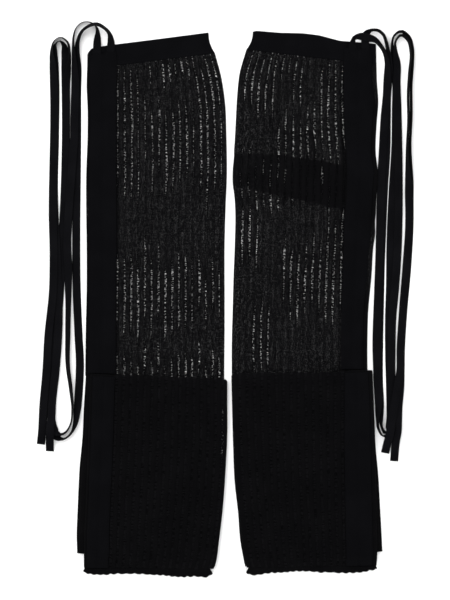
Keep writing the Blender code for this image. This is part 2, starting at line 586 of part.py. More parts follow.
def hem(leg, material):
    """The wavy lettuce edge, all round the tube's open end."""
    low = drape(leg)
    last = leg.cuff[-1]
    rings = []
    hollow = []
    for out in (0.0, 0.5, 1.0):
        columns = []
        for k in range(3 * HEM_WAVES):
            swell = 0.5 - 0.5 * math.cos(2 * math.pi * k / 3)
            columns.append(((k + 0.5) / (3 * HEM_WAVES), HEM_RIPPLE * out * swell))

        def step(share, out=out):
            wave = math.cos(2 * math.pi * (share * HEM_WAVES - 0.17))
            return -GAP - out * (HEM_LENGTH + HEM_SCALLOP * 0.5 * (1 - wave))
        place = shifted(line(last), step)
        rings.append(ring(place, columns, low, lambda x, y: low(x, y) + FLAT))
        hollow.append(hollow_ring(place, low, lambda x, y: low(x, y) + FLAT))
    return cloth(leg.side + "_hem", material, rings, hollow)


def tuck(leg, material):
    """A pleat of the tube's own cloth, inside it, between its back and its front wall."""
    raised = [row for row in leg.panel if row.lift]
    rows = [shifted(line(raised[0]), -1.0), shifted(line(raised[0]), -2.4)]
    rows += [line(row) for row in raised[1:-1]]
    rows += [shifted(line(raised[-1]), 2.4), shifted(line(raised[-1]), 1.0)]
    rings = []
    for index, place in enumerate(rows):
        thin = 0.5 if index in (0, len(rows) - 1) else 0.0
        rings.append(ring(place, [(share, 0.0) for share in PLAIN_SHARES],
                          level(WALL + GAP + thin), level(WALL + TUCK_LIFT - thin),
                          inset=TUCK_INSET))
    return cloth(leg.side + "_tuck", material, rings)


def smooth(route, count):
    """Points on a smooth curve through a route, evenly spaced along each of its stretches."""
    table = np.array(route, dtype=float)
    chord = np.concatenate([[0], np.cumsum(np.linalg.norm(np.diff(table[:, :2], axis=0), axis=1))])
    slope = np.gradient(table, chord, axis=0)
    places = np.linspace(0, chord[-1], count)
    index = np.clip(np.searchsorted(chord, places, side="right") - 1, 0, len(chord) - 2)
    span = (chord[index + 1] - chord[index])[:, None]
    t = ((places - chord[index])[:, None]) / span
    return ((2 * t**3 - 3 * t**2 + 1) * table[index] + (t**3 - 2 * t**2 + t) * span * slope[index]
            + (3 * t**2 - 2 * t**3) * table[index + 1] + (t**3 - t**2) * span * slope[index + 1])


def tape(name, route, material):
    """A flat tape along its route: few rings where it runs straight, more where it bends."""
    fine = smooth(route, FINE_STEPS)
    turn = np.radians(fine[:, 3])
    bed = np.maximum(fine[:, 2], 0.0)
    reach = TAPE_WIDTH / 2 * np.abs(np.sin(turn)) + TAPE_THICK / 2 * np.abs(np.cos(turn))
    middle = np.column_stack([fine[:, :2], bed + reach + TAPE_REST])
    along = np.gradient(middle, axis=0)
    along /= np.linalg.norm(along, axis=1)[:, None]
    side = np.cross((0.0, 0.0, 1.0), along)
    side /= np.linalg.norm(side, axis=1)[:, None]
    up = np.cross(along, side)
    wide = np.cos(turn)[:, None] * side + np.sin(turn)[:, None] * up
    thick = np.cross(along, wide)
    step = np.linalg.norm(np.diff(middle, axis=0), axis=1)
    swing = np.linalg.norm(np.diff(along, axis=0), axis=1)
    twist = np.linalg.norm(np.diff(wide, axis=0), axis=1)
    climb = np.abs(np.diff(bed))
    need = step / RUN_PER_RING + swing * RINGS_PER_SWING + twist * RINGS_PER_TWIST + climb
    effort = np.concatenate([[0], np.cumsum(need)])
    chosen = np.interp(np.linspace(0, effort[-1], TAPE_RINGS), effort, np.arange(len(effort)))
    rings = []
    for k in np.round(chosen).astype(int):
        across, through = wide[k] * TAPE_WIDTH / 2, thick[k] * TAPE_THICK / 2
        corners = (middle[k] + across + through, middle[k] - across + through,
                   middle[k] - across - through, middle[k] + across - through)
        rings.append(([tuple(c) for c in corners], None))
    return cloth(name, material, rings)


def build():
    clear_scene()
    rib_knit = knit("rib_knit", BLACK_KNIT, 0.9)
    plain_knit = knit("plain_knit", BLACK_PLAIN, 0.85)
    tape_knit = knit("tape_knit", BLACK_PLAIN, 0.8)
    for leg in (LEFT, RIGHT):
        leg_panel(leg, rib_knit)
        top_band(leg, plain_knit)
        upper_channel(leg, plain_knit)
        folded_core(leg, rib_knit)
        cuff_panel(leg, rib_knit)
        cuff_channel(leg, plain_knit)
        hem(leg, rib_knit)
        for letter, route in zip("ab", leg.ties):
            tape(leg.side + "_tie_" + letter, route, tape_knit)
    tuck(RIGHT, rib_knit)


build()
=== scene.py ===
import math
from collections import namedtuple
from functools import partial

import bmesh
import bpy
import numpy as np
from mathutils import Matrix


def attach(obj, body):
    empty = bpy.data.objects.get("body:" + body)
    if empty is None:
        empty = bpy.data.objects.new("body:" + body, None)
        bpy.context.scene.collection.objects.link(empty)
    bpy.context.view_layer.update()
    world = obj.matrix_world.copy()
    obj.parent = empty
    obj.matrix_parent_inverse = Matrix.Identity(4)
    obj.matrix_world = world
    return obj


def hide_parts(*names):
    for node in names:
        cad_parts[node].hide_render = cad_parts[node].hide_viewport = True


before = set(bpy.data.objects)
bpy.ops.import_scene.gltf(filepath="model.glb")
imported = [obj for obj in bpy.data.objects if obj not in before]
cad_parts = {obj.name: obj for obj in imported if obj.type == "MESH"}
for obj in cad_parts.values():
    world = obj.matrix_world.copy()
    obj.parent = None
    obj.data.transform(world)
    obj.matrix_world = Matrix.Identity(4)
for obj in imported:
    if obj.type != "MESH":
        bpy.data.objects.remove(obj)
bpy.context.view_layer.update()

# The camera looks straight down on the pair as it lies, through a long lens. The frame is
# 660 mm high. Its middle is 5 mm left of the origin, which lies between the legs, and 4 mm
# further up.
MM = 0.001
FRAME_HEIGHT = 660 * MM
FRAME_X = -4.95 * MM
FRAME_Y = 3.63 * MM
LENS = 100.0
SENSOR = 36.0
bpy.ops.object.camera_add(location=(FRAME_X, FRAME_Y, FRAME_HEIGHT * LENS / SENSOR))
camera = bpy.context.object
camera.rotation_euler = (0.0, 0.0, 0.0)
camera.data.lens = LENS
camera.data.sensor_width = SENSOR
bpy.context.scene.camera = camera


# Ties: four soft tapes, knitted as flat narrow tubes of black yarn. Each leaves the mouth of
# a tunnel, stands on its edge where it turns, and lies down in the long loops beside the leg.

# A route has x, y, the height of what the tape lies on, and its turn in degrees: 0 where it
# lies flat, 90 where it stands on its edge with its left side up.
LEFT_TIE_A = (
    (-145.5, 272, 2.8, 0), (-145.5, 279, 2.8, 0), (-145, 288.5, 2.2, 30), (-144.5, 297.5, 0.6, 66),
    (-146, 303.5, 0, 80), (-153, 308.5, 0, 80), (-161, 308.5, 0, 80), (-168, 303, 0, 80),
    (-171, 294, 0, 76), (-171.5, 281, 0, 68), (-170.5, 265.5, 0.9, 48), (-169.5, 245.5, 1.2, 18),
    (-170, 218, 1.2, 0), (-170.5, 196, 1.8, 0), (-170.5, 184, 2.5, 0), (-171.5, 169.5, 2.5, 0),
    (-173, 149, 2.5, 0), (-177, 94, 2.5, 0), (-178, 58.5, 2.5, 2), (-177, 41, 2.5, 4),
    (-177, 23.5, 1.7, 20), (-177, 3.5, 0, 38), (-177.5, -35, 0, 46), (-177.5, -68, 0, 54),
    (-174, -95.5, 0, 60), (-172.5, -117.5, 0, 74), (-175, -134, 0, 80), (-180.5, -142, 0, 80),
    (-186, -144, 0.1, 76), (-190, -142, 2.3, 45), (-193.5, -136, 2.2, 12), (-195.5, -128.5, 1.5, 3),
    (-196.5, -119.5, 1.2, 0), (-197, -102, 1.2, 0), (-194, -60, 1.2, 0), (-188, -9.5, 1.2, 0),
    (-184.5, 53, 1.2, 0), (-181.5, 113.5, 1.2, 0), (-180, 168.5, 1.2, 0), (-179.5, 215, 1.4, 3),
    (-179, 241, 1.5, 26), (-176.5, 259, 0.8, 60), (-175.5, 275.5, 0, 80), (-178, 287, 0, 80),
    (-185.5, 292, 0, 80), (-192.5, 288, 0, 78), (-195, 278.5, 0.2, 66), (-194, 263, 1.3, 34),
    (-193, 243.5, 1.9, 9), (-192.5, 212.5, 1.4, 0), (-193.5, 152, 1.3, 0), (-194, 120, 2.3, 0),
    (-194, 100.5, 3.8, 0), (-193, 53, 3.8, 0), (-194.5, 3.5, 3.8, 0), (-196.5, -14, 3.8, 0),
    (-198.5, -31.5, 3.2, 0), (-201, -73.5, 2.6, 0), (-204.5, -115, 2.9, 0), (-206, -141.5, 1.6, 0),
    (-207.5, -155, 0.2, 0),
)
LEFT_TIE_B = (
    (-131, 273.5, 2.8, 0), (-130.5, 279, 2.8, 0), (-130, 287.5, 2.8, 36), (-132, 296, 4.4, 62),
    (-137.5, 301.5, 7.8, 62), (-145.5, 305, 9.6, 58), (-154, 303, 7.9, 60), (-161.5, 298, 4, 62),
    (-166, 289, 1, 58), (-167.5, 276.5, 0.1, 44), (-167, 259, 0, 12), (-167.5, 234.5, 0, 0),
    (-167.5, 190.5, 0, 0), (-168, 135.5, 0, 0), (-168.5, 75, 0, 0), (-168, 14.5, 0, 0),
    (-166, -35, 0, 0), (-164.5, -68, 0, 0), (-166, -101, 0, 2), (-167.5, -118.5, 0, 22),
    (-169.5, -133, 0, 54), (-175, -144, 0, 78), (-182.5, -149, 0, 80), (-189.5, -147.5, 0, 44),
    (-193.5, -140.5, 0, 6), (-196.5, -126, 0, 0), (-197.5, -104, 0, 0), (-194, -60, 0, 0),
    (-188, -9.5, 0, 0), (-184.5, 53, 0, 0), (-181.5, 113.5, 0, 0), (-180, 168.5, 0, 0),
    (-180, 223.5, 0, 0), (-180.5, 259, 0, 2), (-180.5, 274, 0, 22), (-182, 284, 0, 60),
    (-186, 288, 0, 80), (-190.5, 285.5, 0, 74), (-192, 277, 0, 44), (-192, 261, 0, 12),
    (-191.5, 237, 0, 0), (-192, 179.5, 0, 0), (-193, 122.5, 0.4, 0), (-192, 94, 2.5, 0),
    (-191, 75, 2.5, 0), (-189.5, 45.5, 2.5, 0), (-187.5, 3.5, 2.5, 0), (-188, -31.5, 2.5, 0),
    (-191, -73.5, 2.5, 0), (-195, -112, 2.6, 0), (-195.5, -126, 4, 0), (-196.5, -137, 7.7, 0),
    (-196.5, -144.5, 9.5, 0), (-197, -152.5, 5.8, 0), (-197.5, -162.5, 0.2, 0),
)
RIGHT_TIE_A = (
    (135.5, 278, 2.8, 0), (135, 280.5, 2.8, 8), (135, 286, 2.8, 40), (136, 290, 2.8, 62),
    (139.5, 292, 3.4, 58), (144, 292.5, 4.4, 32), (149, 292, 4.4, 12), (154, 290.5, 4, 34),
    (160, 288.5, 1.8, 58), (166, 282.5, 0, 72), (170, 276, 0, 70), (173, 265.5, 0, 58),
    (173, 250, 1.8, 38), (173, 232.5, 1.5, 8), (170.5, 204, 1.2, 0), (168.5, 168.5, 1.2, 0),
    (166.5, 128, 1.2, 0), (165.5, 83, 1.2, 0), (164.5, 45.5, 1.2, 0), (163, 3.5, 1.2, 0),
    (161.5, -46, 1.2, 0), (162.5, -82, 1.7, 2), (163.5, -111, 1.9, 32), (162.5, -126, 0, 70),
    (163.5, -138, 0, 80), (169, -146, 0, 76), (174.5, -144.5, 2.5, 46), (178.5, -136, 2.4, 12),
    (179, -119.5, 1.4, 0), (178, -93, 1.2, 0), (178, -51.5, 1.2, 0), (179, -16, 1.2, 0),
    (182, 17, 1.2, 0), (185, 64, 1.2, 0), (186, 124.5, 1.2, 0), (185.5, 174, 1.2, 0),
    (184.5, 215, 1.2, 0), (183.5, 243.5, 1.5, 0), (184, 263, 1.5, 22), (182, 278, 0.2, 58),
    (182.5, 288, 0, 78), (188.5, 294.5, 0, 80), (195.5, 289.5, 0, 80), (199, 276.5, 0, 80),
    (197.5, 254.5, 0, 80), (196, 229, 0, 80), (196.5, 204, 0, 80), (195, 168.5, 0, 78),
    (195.5, 144.5, 0.8, 60), (196.5, 131, 1.7, 34), (197, 118, 2.3, 8), (197.5, 89.5, 1.5, 0),
    (194.5, 41, 1.2, 0), (190.5, -9.5, 1.2, 0), (188, -51.5, 1.5, 0), (187.5, -75.5, 2.4, 0),
    (185.5, -85.5, 3.6, 0), (183.5, -97.5, 3.9, 0), (180, -117.5, 4.1, 0), (177.5, -129.5, 5.4, 0),
    (176, -138.5, 9.3, 0), (174.5, -146, 9.6, 0), (173, -153.5, 5.6, 0), (171, -164.5, 0.2, 0),
)
RIGHT_TIE_B = (
    (149.5, 276, 2.8, 0), (149.5, 279, 2.8, 0), (149, 284, 2.8, 0), (149, 288.5, 2.7, 0),
    (149.5, 292, 1.2, 6), (150, 295.5, 0.3, 26), (153, 298.5, 0, 62), (157, 300, 0, 80),
    (163, 299.5, 0, 80), (169, 294.5, 0, 80), (172, 286.5, 0, 76), (174, 276.5, 0, 68),
    (175.5, 265.5, 0, 52), (175, 250, 0, 30), (173.5, 232.5, 0, 2), (173, 204, 0, 0),
    (172.5, 168.5, 0, 0), (170, 128, 0, 0), (168, 83, 0, 0), (166.5, 45.5, 0, 0),
    (165.5, 3.5, 0, 0), (164.5, -46, 0, 0), (164.5, -90, 0, 0), (165.5, -111, 0, 18),
    (166, -126, 0, 58), (167.5, -137, 0, 80), (171, -142, 0, 62), (174.5, -140, 0, 20),
    (176.5, -131.5, 0, 4), (177, -115, 0, 0), (176.5, -90, 0, 0), (175.5, -51.5, 0, 0),
    (175.5, -16, 0, 0), (176.5, 17, 0, 0), (177, 64, 0, 0), (179.5, 124.5, 0, 0),
    (182.5, 174, 0, 0), (183, 215, 0, 0), (183.5, 241, 0, 0), (181.5, 261, 0, 8),
    (180.5, 273, 0, 32), (178.5, 284, 0, 68), (180.5, 293.5, 0, 80), (188, 298.5, 0, 80),
    (196.5, 293, 0, 80), (201, 279.5, 0, 80), (201, 263, 0, 80), (199.5, 241, 0, 80),
    (199.5, 206, 0, 80), (198, 168.5, 0, 76), (198, 144.5, 0, 48), (198, 131, 0, 20),
    (198, 120, 0, 6), (198, 89.5, 0, 0), (195.5, 41, 0, 0), (191, -9.5, 0, 0), (188.5, -51.5, 0, 0),
    (188, -75.5, 0.9, 0), (187.5, -92, 2.5, 0), (185.5, -115, 2.6, 0), (185, -128.5, 3.6, 0),
    (184.5, -139.5, 5.1, 0), (182.5, -152.5, 3.2, 0), (181, -173.5, 0.2, 0),
)
TAPE_WIDTH = 8.9
TAPE_THICK = 0.9
TAPE_REST = 0.05
TAPE_SAMPLES = 4000
TAPE_RINGS = 420
TAPE_SHARP = 60
TAPE_STITCH = (1.1, 1.0)  # how wide and how high one stitch is
TAPE_RELIEF = 0.5
TAPE_BLACK = (0.0012, 0.0012, 0.0015, 1.0)
TAPE_GREY = (0.0048, 0.0048, 0.0058, 1.0)
TAPE_PROFILE = (  # across and through a tape, as shares of its half width and half thickness
    (-1.0, 0.0), (-0.97, 0.62), (-0.88, 1.0), (-0.6, 0.78), (-0.2, 0.92), (0.2, 0.92),
    (0.6, 0.78), (0.88, 1.0), (0.97, 0.62), (1.0, 0.0), (0.97, -0.62), (0.88, -1.0),
    (0.3, -0.9), (-0.3, -0.9), (-0.88, -1.0), (-0.97, -0.62),
)
STITCH_SLANT = 0.45
STITCH_CREASE = 0.6  # how deep the crease down the middle of a column is
DRIFT_GRAIN = 9 * MM  # no row of stitches is quite straight
DRIFT = 0.5 * MM
FUZZ_GRAIN = 0.35 * MM
FUZZ_HEIGHT = 0.5
PATCH_GRAIN = 28 * MM
PATCH_RANGE = (0.35, 0.7)
# The stitches' share of the tone is painted shade: darker in the grooves between stitches, lighter
# on their crests.
KNIT_SHADE = 0.55  # what the stitches, worn patches and the fuzz each add to the shade
PATCH_SHADE = 0.25
FUZZ_SHADE = 0.2
RELIEF_DEPTH = 0.25 * MM
YARN_ROUGH = 0.96
CREST_ROUGH = 0.12  # how much smoother the stitches' crests are
YARN_FINISH = {"Metallic": 0.0, "Specular IOR Level": 0.015, "Sheen Weight": 0.006,
               "Sheen Roughness": 0.5}


class Wire:
    """A shader socket that can be reckoned with: every step adds a node."""

    def __init__(self, tree, socket=None):
        self.tree = tree
        self.socket = socket

    def node(self, kind, settings=None, values=None, out=0):
        """A node of that type, with its settings and then its sockets' values or links."""
        made = self.tree.nodes.new(kind)
        for name, value in (settings or {}).items():
            setattr(made, name, value)
        for name, value in (values or {}).items():
            if isinstance(value, Wire):
                self.tree.links.new(value.socket, made.inputs[name])
            else:
                made.inputs[name].default_value = value
        return Wire(self.tree, made.outputs[out])

    def math(self, operation, *others):
        return self.node("ShaderNodeMath", {"operation": operation},
                         dict(enumerate((self,) + others)))

    def __add__(self, other):
        return self.math("ADD", other)

    def __sub__(self, other):
        return self.math("SUBTRACT", other)

    def __rsub__(self, other):
        return self.node("ShaderNodeMath", {"operation": "SUBTRACT"}, {0: other, 1: self})

    def __mul__(self, other):
        return self.math("MULTIPLY", other)

    def __truediv__(self, other):
        return self.math("DIVIDE", other)

    def __pow__(self, other):
        return self.math("POWER", other)

    def __abs__(self):
        return self.math("ABSOLUTE")

    def step(self, low, high):
        """A soft step from 0 to 1 between two values."""
        return self.node("ShaderNodeMapRange", {"interpolation_type": "SMOOTHSTEP"},
                         {"Value": self, "From Min": low, "From Max": high})

    def part(self, axis):
        return self.node("ShaderNodeSeparateXYZ", None, {0: self}, axis)

    def noise(self, size, detail=2.0):
        """A soft noise, 0 to 1, of grains of that size."""
        return self.node("ShaderNodeTexNoise", None,
                         {"Vector": self, "Scale": 1 / size, "Detail": detail})

    def mix(self, first, second):
        """One colour where this is 0, the other where it is 1: the node's sockets 6 and 7."""
        return self.node("ShaderNodeMix", {"data_type": "RGBA"},
                         {"Factor": self, 6: first, 7: second}, 2)

    __radd__ = __add__
    __rmul__ = __mul__


def stitches(across, along, wale, course):
    """The height of a plain knit, 0 to 1: columns of small V stitches."""
    leg = abs((across / wale).math("FRACT") - 0.5) * 2
    loop = abs((along / course + leg * STITCH_SLANT).math("FRACT") - 0.5) * 2
    return (1 - loop ** 2) * (1 - (leg * 2 - 1) ** 4 * STITCH_CREASE) * (1 - (1 - leg) ** 6)


def knit_material(name, dark, light, stitch, relief, uses_uv=False, dress=None):
    """A matt black yarn, knitted: stitches and fuzz, with painted shade that darkens the colour in
    the grooves between the stitches. dress changes the yarn's colour by its place and by the height
    of the knit there."""
    material = bpy.data.materials.new(name)
    material.use_nodes = True
    tree = material.node_tree
    shader = tree.nodes["Principled BSDF"]
    place = Wire(tree).node("ShaderNodeTexCoord", out="UV" if uses_uv else "Object")
    drift = (place.noise(DRIFT_GRAIN) - 0.5) * DRIFT
    knit = stitches(place.part("X") + drift, place.part("Y") + drift,
                    stitch[0] * MM, stitch[1] * MM)
    fuzz = place.noise(FUZZ_GRAIN)
    patch = place.noise(PATCH_GRAIN).step(*PATCH_RANGE)
    # knit puts painted shade into the colour: the grooves between stitches darker, the crests
    # lighter.
    shade = knit * KNIT_SHADE + patch * PATCH_SHADE + fuzz * FUZZ_SHADE
    colour = shade.mix(dark, light)
    if dress:
        colour = dress(colour, place, knit)
    bump = knit.node("ShaderNodeBump", None, {"Strength": relief, "Distance": RELIEF_DEPTH,
                                              "Height": knit + fuzz * FUZZ_HEIGHT})
    tree.links.new(colour.socket, shader.inputs["Base Color"])
    tree.links.new(bump.socket, shader.inputs["Normal"])
    tree.links.new((YARN_ROUGH - knit * CREST_ROUGH).socket, shader.inputs["Roughness"])
    for socket, value in YARN_FINISH.items():
        shader.inputs[socket].default_value = value
    return material


def hermite(along, table, places):
    """A smooth curve through a table's rows, read at places along it."""
    slope = np.gradient(table, along, axis=0)
    index = np.clip(np.searchsorted(along, places, side="right") - 1, 0, len(along) - 2)
    span = (along[index + 1] - along[index])[:, None]
    t = (places - along[index])[:, None] / span
    return ((2 * t**3 - 3 * t**2 + 1) * table[index] + (t**3 - 2 * t**2 + t) * span * slope[index]
            + (3 * t**2 - 2 * t**3) * table[index + 1] + (t**3 - t**2) * span * slope[index + 1])


def lengths(points):
    """How far along a line of points each one is."""
    return np.concatenate([[0], np.cumsum(np.linalg.norm(np.diff(points, axis=0), axis=1))])


def unit(vectors):
    return vectors / np.linalg.norm(vectors, axis=-1, keepdims=True)


Part = namedtuple("Part", "points faces bare", defaults=(0.0,))  # bare is 1 on bare yarn, the rungs, which get painted light


def ring_faces(count, around):
    """The faces between so many rings, and the number of every point and of the next one."""
    index = np.arange(count * around).reshape(count, around)
    after = np.roll(index, -1, axis=1)
    quads = np.stack([index[:-1], after[:-1], after[1:], index[1:]], -1).reshape(-1, 4)
    return quads.tolist(), index, after


def closed_part(grid):
    """A part from rings, closed at both ends by a point in the middle of each."""
    count, around = grid.shape[:2]
    faces, index, after = ring_faces(count, around)
    for end, middle in ((0, count * around), (-1, count * around + 1)):
        faces += np.stack([index[end], after[end], np.full(around, middle)], -1).tolist()
    points = np.concatenate([grid.reshape(-1, 3), [grid[0].mean(0), grid[-1].mean(0)]])
    return Part(points, faces)


def add_piece(mesh, material, node, sharp):
    """A mesh made a piece of the pair, in place of its plain solid: its faces turned
    outwards, its yarn put on, and smooth but for its sharp edges."""
    shape = bmesh.new()
    shape.from_mesh(mesh)
    bmesh.ops.recalc_face_normals(shape, faces=shape.faces)
    shape.to_mesh(mesh)
    shape.free()
    mesh.materials.append(material)
    thing = bpy.data.objects.new(mesh.name, mesh)
    bpy.context.scene.collection.objects.link(thing)
    bpy.ops.object.select_all(action="DESELECT")
    thing.select_set(True)
    bpy.context.view_layer.objects.active = thing
    bpy.ops.object.shade_smooth_by_angle(angle=math.radians(sharp))
    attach(thing, "root")
    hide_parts(node)
    return thing


def map_tape(mesh, girth, along):
    """A map for the tape's stitches: the way round it and the way along it, in metres."""
    around = len(TAPE_PROFILE)
    layer = mesh.uv_layers.new(name="tape")
    for face in mesh.polygons:
        wraps = face.vertices[0] % around == around - 1
        for loop in face.loop_indices:
            ring, place = divmod(mesh.loops[loop].vertex_index, around)
            if ring < TAPE_RINGS:
                across = girth[around if wraps and place == 0 else place]
                layer.data[loop].uv = (across * MM, along[ring] * MM)
            else:
                layer.data[loop].uv = (0.0, 0.0)


def tie(name, route, material):
    """A tape along its route, as long as it comes out."""
    table = np.array(route, dtype=float)
    run = lengths(table[:, :2])
    fine = hermite(run, table, np.linspace(0, run[-1], TAPE_SAMPLES))
    turn = np.radians(fine[:, 3])
    reach = TAPE_WIDTH / 2 * np.abs(np.sin(turn)) + TAPE_THICK / 2 * np.abs(np.cos(turn))
    middle = np.column_stack([fine[:, :2], np.maximum(fine[:, 2], 0) + reach + TAPE_REST])
    run = lengths(middle)
    pick = np.interp(np.linspace(0, run[-1], TAPE_RINGS), run, np.arange(TAPE_SAMPLES))
    pick = np.round(pick).astype(int)
    along = unit(np.gradient(middle, axis=0))
    side = unit(np.cross((0.0, 0.0, 1.0), along))
    up = np.cross(along, side)
    wide = np.cos(turn)[:, None] * side + np.sin(turn)[:, None] * up
    thick = np.cross(along, wide)
    profile = np.array(TAPE_PROFILE)
    grid = (middle[pick, None]
            + wide[pick, None] * (profile[:, 0] * TAPE_WIDTH / 2)[None, :, None]
            + thick[pick, None] * (profile[:, 1] * TAPE_THICK / 2)[None, :, None])
    part = closed_part(grid)
    mesh = bpy.data.meshes.new(name)
    mesh.from_pydata((part.points * MM).tolist(), [], part.faces)
    map_tape(mesh, np.append(lengths(grid[0]), 2 * TAPE_WIDTH + 2 * TAPE_THICK), run[pick])
    thing = add_piece(mesh, material, name.replace("_tape_", "_tie_"), TAPE_SHARP)


tape_knit = knit_material("tape_knit", TAPE_BLACK, TAPE_GREY, TAPE_STITCH, TAPE_RELIEF,
                          uses_uv=True)
for tie_name, tie_route in (("left_tape_a", LEFT_TIE_A), ("left_tape_b", LEFT_TIE_B),
                            ("right_tape_a", RIGHT_TIE_A), ("right_tape_b", RIGHT_TIE_B)):
    tie(tie_name, tie_route, tape_knit)


# Leg panels: each leg's upper part is a tube of sheer rib knit that lies flat. Ribs of three
# or four columns alternate with ladders, dropped stitches that only bare rungs of yarn cross.
# Light shows where the ladders of the front and the back lie over each other.
WALL = 1.1
GAP = 0.3
FLAT = 2 * WALL + GAP
RIB_RISE = 0.5
LADDER = 2.3  # width of a ladder
FIRST_LADDER = 0.9  # from the strip's edge to the middle of the first ladder
THIN_RUNG = 0.16  # the yarn of a rung may lie single and tight, or loose and doubled
THICK_RUNG = 0.64
CAUGHT_RUNG = 0.95  # here and there a loose loop fills one side of the ladder
CAUGHT_SHARE = 0.32
CAUGHT_REACH = 0.62
CAUGHT_MANY = 0.5  # where more rungs than this share are caught, they cross the whole ladder
RUNG_SLANT = 0.42
RUNG_STRAY = 0.22  # how far a rung strays along its ladder, and up or down
RUNG_LIFT = 0.12
RUNG_FLATNESS = 0.6
FRONT_RUNGS = 0.1  # how far out of the wall's middle the front's rungs lie
SEAM_CLOSE = 3.5  # the ladders are closed so far from the seam
COURSE = 1.38  # from one rung to the next
BITE = 0.35  # how far a rung goes into the rib beside it
OFFSET = 0.34  # how far the back's ladders stray from the front's, in rib repeats, at most
ROW_STEP = 5.0
FOLD_ROWS = 9
RIB_STITCH = (1.45, 1.2)
RIB_RELIEF = 0.6
RIB_DARK = (0.001, 0.001, 0.0012, 1.0)
RIB_LIGHT = (0.0029, 0.0028, 0.0032, 1.0)
RUNG_PAINTED_LIGHT = 1.9  # painted light: how much lighter the rungs' yarn is painted, so the shaded ladders look less dark
KNIT_SHARP = 50
TUCK_LIFT = 2.3
TUCK_TOP = (164.8, 0.0097, -0.00089)  # y of the tuck's edges: the terms in 1, x and x squared
TUCK_BOTTOM = (130.0, -0.222, 0.0)
TUCK_VEIL = 0.7  # how much of the light the tuck stops at its inner end; further out, all
VEIL_FADE = (30, 90)  # the stretch of x over which that changes
PAINTED_FLOOR_LIGHT = (0.056, 0.056, 0.057, 1.0)  # painted light: pale specks for the floor seen through the knit's small holes
HOLE_GRAIN = 1.25 * MM
HOLE_RANGE = (0.54, 0.62)
HOLE_DEPTH = (0.25, 0.5)  # the holes lie between stitches, where the knit is this low
STREAK_GRAIN = 2.0 * MM  # they show more in some columns than in others
STREAK_LENGTH = 0.1  # how much the pattern is drawn out down the leg
STREAK_RANGE = (0.35, 0.65)
STREAK_LOW = 0.6
STREAK_RISE = 0.8
BACK_MARGIN = 0.6  # the back's ladders stay so far from its outer side, in rib repeats
BACK_SEED = 100
SEED_START = 500  # keeps the seeds of ladders on the outer side above zero
LONGEST = 480  # longer than any tube here
READ_STEP = 2  # a tube's rows are worked out so close together
FRONT_WANDER = (0.0022, 23)  # as a share of the width, and over what length
START_WANDER = (14, 31)  # where the stretch begins in which two ladders line up
MATCH = 0.82  # how well they line up there
MATCH_WANDER = (0.18, 17)
BACK_WANDER = (0.05, 13)

# A row across a tube: where its outer and inner sides are, the x of the strip's inner edge,
# and how much thicker the tube is over the tuck.
Row = namedtuple("Row", "outer_x outer_y inner_x inner_y strip_x lift", defaults=(0, 0))
LEFT_PANEL = (
    Row(-156, 257, -16.5, 274.5, -122.5),
    Row(-156.5, 239, -10, 250, -123.5),
    Row(-155.5, 215, -5.5, 220.5, -123.5),
    Row(-155.5, 182, -4, 184, -123.5),
    Row(-157, 141, -3.5, 141, -123.5),
    Row(-157, 102.5, -5, 102.5, -123.5),
    Row(-156.5, 63, -6, 63, -123.5),
    Row(-156.5, 14.5, -6, 14.5, -124),
    Row(-157.5, -29.5, -6, -29.5, -124),
    Row(-158, -79.5, -6.5, -85.5, -124),
)
RIGHT_PANEL = (
    Row(161, 262, 19, 278.5, 124.5),
    Row(161.5, 243.5, 12, 254.5, 124.5),
    Row(163, 221.5, 9, 229, 124.8),
    Row(161, 195, 7.5, 201.5, 125.5),
    Row(160.5, 161, 6, 174.5, 127.5),
    Row(161.5, 153, 5.5, 168.5, 128),
    Row(162.5, 146, 5.5, 163, 128, TUCK_LIFT),
    Row(161, 121, 4, 145, 127.5, TUCK_LIFT),
    Row(160, 98, 4.5, 127, 126.5, TUCK_LIFT),
    Row(159.5, 91, 5.5, 121, 125.5),
    Row(159.5, 76, 7, 97, 125),
    Row(157.5, 62, 6.5, 69.5, 124.5),
    Row(155.5, 30, 5, 30, 123.5),
    Row(152, -7.5, 4, -7.5, 122),
    Row(151, -46, 3, -46, 121.5),
    Row(151, -78, 3, -79.5, 121.5),
)
Glow = namedtuple("Glow", "left right bottom top soft", defaults=(34,))  # see glow_at
LEFT_GLOWS = (
    Glow(-124, -100, 130, 259), Glow(-92, -38, 141, 212), Glow(-37, -8, 124, 267),
    Glow(-88, -38, 250, 280, 8), Glow(-124, -40, -25, 50, 18), Glow(-40, -8, -8, 37),
    Glow(-124, -6, -85, -58, 12),
)
RIGHT_GLOWS = (
    Glow(10, 122, 262, 280), Glow(9, 50, 218, 257), Glow(66, 84, 232, 262),
    Glow(99, 127, 168, 251), Glow(50, 99, 161, 202), Glow(9, 31, 47, 97),
    Glow(105, 127, 3, 100), Glow(55, 127, -8, 58), Glow(22, 45, -63, 3),
    Glow(2, 70, 112, 164, 6), Glow(95, 109, 114, 152, 6),
)
EDGE_GLINTS = {  # short stretches of the outer fold where a ladder comes round to the front, with painted light
    "left": (Glow(-160, -151, 95, 117),),
    "right": (Glow(151, 166, 229, 254), Glow(151, 166, 21, 76)),
}
SHEER_REACH = 123.5  # the knit is sheer this far from the middle of the pair
SHEER_EDGE = 3.0
RIB_HOLES = 0.5  # how much less light comes through the ribs where ladders line up
GLOW_SIDE = 12  # how softly a glow ends at its left and right
RIBS = {"left": 15.5, "right": 14.85}  # rib repeats from the strip to the inner side


